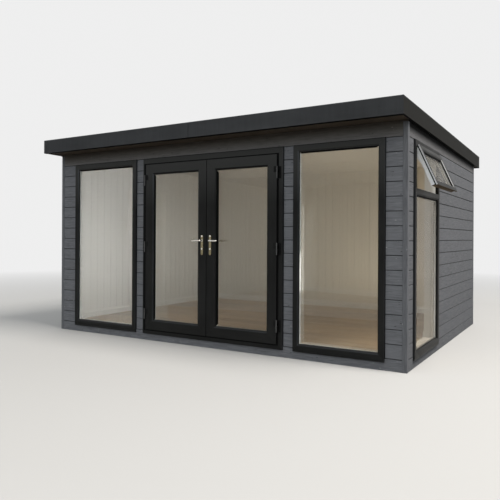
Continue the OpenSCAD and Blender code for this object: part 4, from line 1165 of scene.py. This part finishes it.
# Gasket lips at the hinge stile, free stile, foot and head; the widest are painted shadow
LEAF_LIPS = {"left": (0.0220, 0.0030, 0.0040, 0.0040), "right": (0.0040, 0.0350, 0.0040, 0.0040)}
# Where the handle's parts sit on the outer and the inner face, and where a hinge's cap sits
OUTER_HANDLE = move(LEVER_X, 0, LEVER_Z - LEAF_Z)
HANDLES = (OUTER_HANDLE, move(y=LEAF_D) @ OUTER_HANDLE @ flip(1))
CAP_AT = move(z=HINGE_H / 2 - 0.0006)
t = np.linspace(0, math.pi / 2, 5)[:-1]
CAP = [(KNUCKLE_R * 0.97, 0.0), *((0.0068 * math.cos(a) + 0.0001, 0.0008 + 0.0026 * math.sin(a)) for a in t),
       (0.0009, 0.0034)]


def hinge_details(work, place, cap_at, xs, y, zs):
    """A domed cap on each hinge's barrel, and the screws of its plate."""
    for height in HINGE_HEIGHTS:
        axis = place @ move(-AXIS_SIDE, -AXIS_FRONT, height - LEAF_Z)
        work.turned(CAP, axis @ cap_at, 18)
        for x in xs:
            for z in zs:
                screw_head(work, axis @ move(x, y, z) @ OUT)


def leaf_parts(side, place):
    """Panes, gaskets, weather seal, handle plates and hinge details of one leaf."""
    body = side + "_door"
    units, seals, plates, hinges = Work(), Work(), Work(), Work()
    glaze(units, seals, LEAF_W, LEAF_H, LEAF_IN, LEAF_GLASS_BACK, place, LEAF_LIPS[side])
    units.piece(side + "_door_unit", UNIT_PARTS, "glazing", side + "_door_glass", body=body)
    for start, end, across, mitre in (((0, 0, 0), (0, 0, LEAF_H), X, (1, 1)), ((0, 0, 0), (LEAF_W, 0, 0), Z, (1, 0)),
                                      ((0, 0, LEAF_H), (LEAF_W, 0, LEAF_H), -Z, (1, 0))):
        seals.bar(lip_seal(0.005), start, end, across, Y, mitre, tone=0, place=place)
    seals.piece(side + "_door_gaskets", GASKETS, "frame_black", body=body)
    for face in HANDLES:
        handle_plate(plates, place @ face)
    plates.piece(side + "_handle_plates", [reflection_tinted_plate, rubber, chrome], "handle_chrome", side + "_door_plates",
                 body=body, smooth=35)
    hinge_details(hinges, place, CAP_AT, (0.019, 0.034), AXIS_FRONT - 0.004, (0.015, 0.047))
    hinges.piece(side + "_hinge_caps_and_screws", [leaf_plate_paint, rubber], "hinge_black", body=body, smooth=50)


# The plate's ends lie this far under and over the lever's axis, and the key's axis this far under it
PLATE_R, PLATE_LOW, PLATE_HIGH, PLATE_T, KEY_DROP = 0.016, -0.146, 0.049, 0.008, 0.092


def handle_plate(work, place):
    """A long plate with round ends: a stadium outline whose radius shrinks as it leaves the door."""
    t = np.linspace(0, math.pi, 15)
    rows = []
    for inset, out in ((0, HAIR), (0, 0.0052), (0.0006, 0.0068), (0.0016, 0.0077), (0.0030, PLATE_T)):
        x, z = (PLATE_R - inset) * np.cos(t), (PLATE_R - inset) * np.sin(t)
        x, z = np.concatenate([x, -x]), np.concatenate([PLATE_HIGH + z, PLATE_LOW - z])
        rows.append(np.column_stack([x, np.full(len(x), -out), z]))
    work.skin(rows, place=place)
    work.turned([(0.0130, 0.006), (0.0130, 0.0088), (0.0122, 0.0098), (0.0100, 0.0101)], place @ OUT, 28, 2)
    key = place @ move(z=-KEY_DROP) @ OUT
    work.turned([(0.0105, 0.006), (0.0105, 0.0092), (0.0085, 0.0096), (0.0085, 0.0101), (0.0079, 0.0108),
                 (0.0068, 0.0110)], key, 26, 2)
    # The keyhole is a black bar: painted shade of the hole
    keyhole = oblong(-0.0009, 0.0108, 0.0009, 0.01112, 0.0001, 1)
    work.bar(keyhole, (0, -0.0042, 0), (0, 0.0042, 0), X, Z, tone=0, finish=1, place=key)
    screw_head(work, place @ move(0, HAIR - PLATE_T, PLATE_LOW - 0.004) @ OUT, 0.0034)
    # Domed cover over the upper screw
    t = np.linspace(0.10, math.pi / 2, 7)
    dome = [(0.0110 * math.sin(a), 0.0030 * math.cos(a)) for a in t] + [(0.0110, -0.001)]
    work.turned(dome, place @ move(0, HAIR - PLATE_T, PLATE_HIGH + 0.002) @ OUT, 24, 2)


# How far the grip stands off the plate's foot, the bend's radius, the grip's end and its cap
REACH, BEND, LEVER_L, CAP_L = 0.048, 0.016, 0.108, 0.0075
SPINDLE_R = 0.004


def lever_arm(work, place):
    """Neck, bend and oval grip: an ellipse carried along a line, a quarter turn and a line.

    The radius in the plane of the path runs from 8.4 mm at the neck to 6.2 mm at the grip, and the
    upright radius from 8.4 mm to 9.2 mm. The end closes as a quarter ellipse.
    """
    neck = np.linspace(0.004, REACH - BEND, 6)
    bend = np.linspace(0, math.pi / 2, 12)[1:]
    grip = np.linspace(BEND, LEVER_L, 14)[1:]
    close = np.linspace(0, math.pi / 2, 7)[1:] * 0.97
    path = np.concatenate([
        np.column_stack([0 * neck, -neck]),
        np.column_stack([BEND * np.cos(bend) - BEND, BEND - REACH - BEND * np.sin(bend)]),
        np.column_stack([-grip, 0 * grip - REACH]),
        np.column_stack([-LEVER_L - CAP_L * np.sin(close), 0 * close - REACH]),
    ])
    shrink = np.concatenate([np.ones(len(path) - len(close)), np.cos(close)])
    step = np.gradient(path, axis=0)
    step /= np.linalg.norm(step, axis=1, keepdims=True)
    side = np.column_stack([-step[:, 1], step[:, 0]])
    s = np.clip(np.arange(len(path)) / (len(neck) + len(bend)), 0, 1)
    ease = s * s * (3 - 2 * s)
    flat = (0.0084 - 0.0022 * ease) * shrink
    tall = (0.0084 + 0.0008 * ease) * shrink
    t = np.linspace(0, 2 * math.pi, 22, endpoint=False)
    xy = path[:, None] + side[:, None] * (flat[:, None] * np.cos(t))[..., None]
    z = np.broadcast_to(tall[:, None] * np.sin(t), xy.shape[:2])
    work.skin(np.concatenate([xy, z[..., None]], -1), place=place)


def lever(side, place):
    """The two levers of a leaf and the spindle that joins them."""
    work = Work()
    for face in HANDLES:
        lever_arm(work, place @ face)
    work.turned([(SPINDLE_R, 0), (SPINDLE_R, LEAF_D)], place @ move(y=LEAF_D) @ OUTER_HANDLE @ OUT, 12)
    work.piece(side + "_lever_pair", [chrome], "handle_chrome", side + "_door_lever", body=side + "_lever", smooth=45)


def finish_hinges(name, paint):
    """The hinges keep their CAD shape. The barrels' faces take a paler paint, a painted highlight."""
    mesh = finish_node(name, paint)
    mesh.materials.append(highlit_barrel_paint)
    centres = np.empty(len(mesh.polygons) * 3)
    mesh.polygons.foreach_get("center", centres)
    x, y, _ = centres.reshape(-1, 3).T
    off = [np.hypot(x - axis, y - LEAF_Y + AXIS_FRONT) for axis in (LEFT_LEAF_X - AXIS_SIDE, RIGHT_LEAF_X + AXIS_SIDE)]
    on_barrel = np.minimum(*off) < KNUCKLE_R + 0.0005
    mesh.polygons.foreach_set("material_index", on_barrel.astype(np.int32))


frame_details = Work()
for side, place, hinge_bead in (("left", move(LEFT_LEAF_X, LEAF_Y, LEAF_Z), LEAF_BEADED),
                                ("right", move(RIGHT_LEAF_X, LEAF_Y, LEAF_Z) @ flip(0), shaded_leaf_edge)):
    leaf(side, place, hinge_bead)
    leaf_parts(side, place)
    lever(side, place)
    finish_hinges(side + "_door_hinges", leaf_plate_paint)
    hinge_details(frame_details, place, flip(2) @ CAP_AT, (-0.012, -0.026), 0.026, (-0.045, 0.045))
frame_details.piece("frame_hinge_caps_and_screws", [hinge_paint, rubber], "hinge_black", smooth=50)
finish_hinges("door_frame_hinges", hinge_paint)
finish_node("vent_stays", steel)

# ---------------------------------------------------------------- floor, light and camera
BACKGROUND, SKY = (0.86, 0.86, 0.86), (0.93, 0.97, 1.0)


def stage_floor():
    """A plain pale disc. Far from the pod, what the camera sees of it fades into the background.

    To the light that it throws back at the pod it is dark, so that the overhang shades the walls.
    """
    radius, t = 60, np.linspace(0, 2 * math.pi, 96, endpoint=False)
    ring = np.column_stack([radius * np.cos(t), radius * np.sin(t), np.full(len(t), -0.001)])
    mesh = bpy.data.meshes.new("studio_floor")
    mesh.from_pydata(ring.tolist(), [], [list(range(len(t)))])
    floor = bpy.data.objects.new("studio_floor", mesh)
    bpy.context.scene.collection.objects.link(floor)
    f = Finish("studio floor", rough=0.9, specular=0.05, color=(0.455, 0.445, 0.430))
    at = f.node("TexCoord").outputs["Object"]
    far = f.ramp(f.node("VectorMath", {0: at}, operation="LENGTH").outputs["Value"], 5.0, 15.0)
    seen = f.seen_ray()
    bounce = f.node("BsdfDiffuse", {"Color": (0.055, 0.050, 0.044, 1)})
    white = f.node("Emission", {"Color": (*BACKGROUND, 1), "Strength": 1.0})
    mesh.materials.append(f.surface(f.blend(f.maths("MULTIPLY", far, seen), f.blend(seen, bounce, f.shader), white)))


def world_light(base, front, rear):
    """Pale light, stronger from the front. The camera, metal and glass see the plain background.

    Towards a direction d its strength is base + max(-front * d.y, rear * d.y).
    """
    world = bpy.data.worlds.new("studio")
    bpy.context.scene.world = world
    g = Graph(world)
    depth = g.node("SeparateXYZ", {0: g.node("TexCoord").outputs["Generated"]}).outputs["Y"]
    sides = g.maths("MAXIMUM", g.maths("MULTIPLY", depth, -front), g.maths("MULTIPLY", depth, rear))
    lit, seen = g.tree.nodes["Background"], g.node("Background", {"Color": (*BACKGROUND, 1)})
    g.feed(lit, {"Color": (*SKY, 1), "Strength": g.maths("ADD", sides, base)})
    g.feed(g.tree.nodes["World Output"], {"Surface": g.blend(g.seen_ray(), lit, seen).outputs[0]})


def area_light(name, at, aim, size, power, color, shown=True, spread=180):
    """A rectangular light that the camera doesn't see. One that isn't shown has no reflection either."""
    light = bpy.data.lights.new(name, "AREA")
    light.shape, light.size, light.size_y = "RECTANGLE", *size
    light.energy, light.color, light.spread = power, color, math.radians(spread)
    obj = bpy.data.objects.new(name, light)
    bpy.context.scene.collection.objects.link(obj)
    obj.location = at
    obj.rotation_euler = (Vector(aim) - Vector(at)).to_track_quat("-Z", "Y").to_euler()
    obj.visible_camera = obj.visible_transmission = False
    obj.visible_glossy = shown


def studio_camera():
    """The photograph's camera: its place, its level view along the ground and its small roll.

    The focal length and the horizon's height are in pixels of the photograph, which is 500 wide.
    """
    photo, focal, horizon, roll = 500, 555.88, 237.71, math.radians(0.29)
    right, ahead = np.array([0.8563, 0.5165, 0.0]), np.array([-0.5165, 0.8563, 0.0])
    data = bpy.data.cameras.new("camera")
    data.sensor_fit, data.sensor_width = "HORIZONTAL", 36
    data.lens = focal / photo * 36
    data.shift_y = (horizon - photo / 2) / photo
    camera = bpy.data.objects.new("camera", data)
    bpy.context.scene.collection.objects.link(camera)
    m = np.eye(4)
    m[:3, 0] = math.cos(roll) * right + math.sin(roll) * Z
    m[:3, 1] = -math.sin(roll) * right + math.cos(roll) * Z
    m[:3, 2], m[:3, 3] = -ahead, (3.722, -6.866, 1.239)
    camera.matrix_world = Matrix(m.tolist())
    bpy.context.scene.camera = camera


stage_floor()
world_light(0.32, 1.45, 0.75)
area_light("key softbox", (8.8, -2.0, 15.0), (1.5, -0.3, 1.2), (6.8, 6.8), 3500, (1.0, 0.97, 0.93))
area_light("floor glow", (1.1, 0.2, 0.16), (1.1, 0.2, 2.0), (1.6, 2.0), 12.0, (1.0, 0.83, 0.60), shown=False)
area_light("wall softbox", (1.2, -1.25, 1.3), (-2.2, -1.25, 0.9), (1.0, 1.2), 4.5, (1.0, 0.97, 0.92), shown=False,
           spread=50)
studio_camera()
bpy.context.scene.view_settings.view_transform = "Standard"
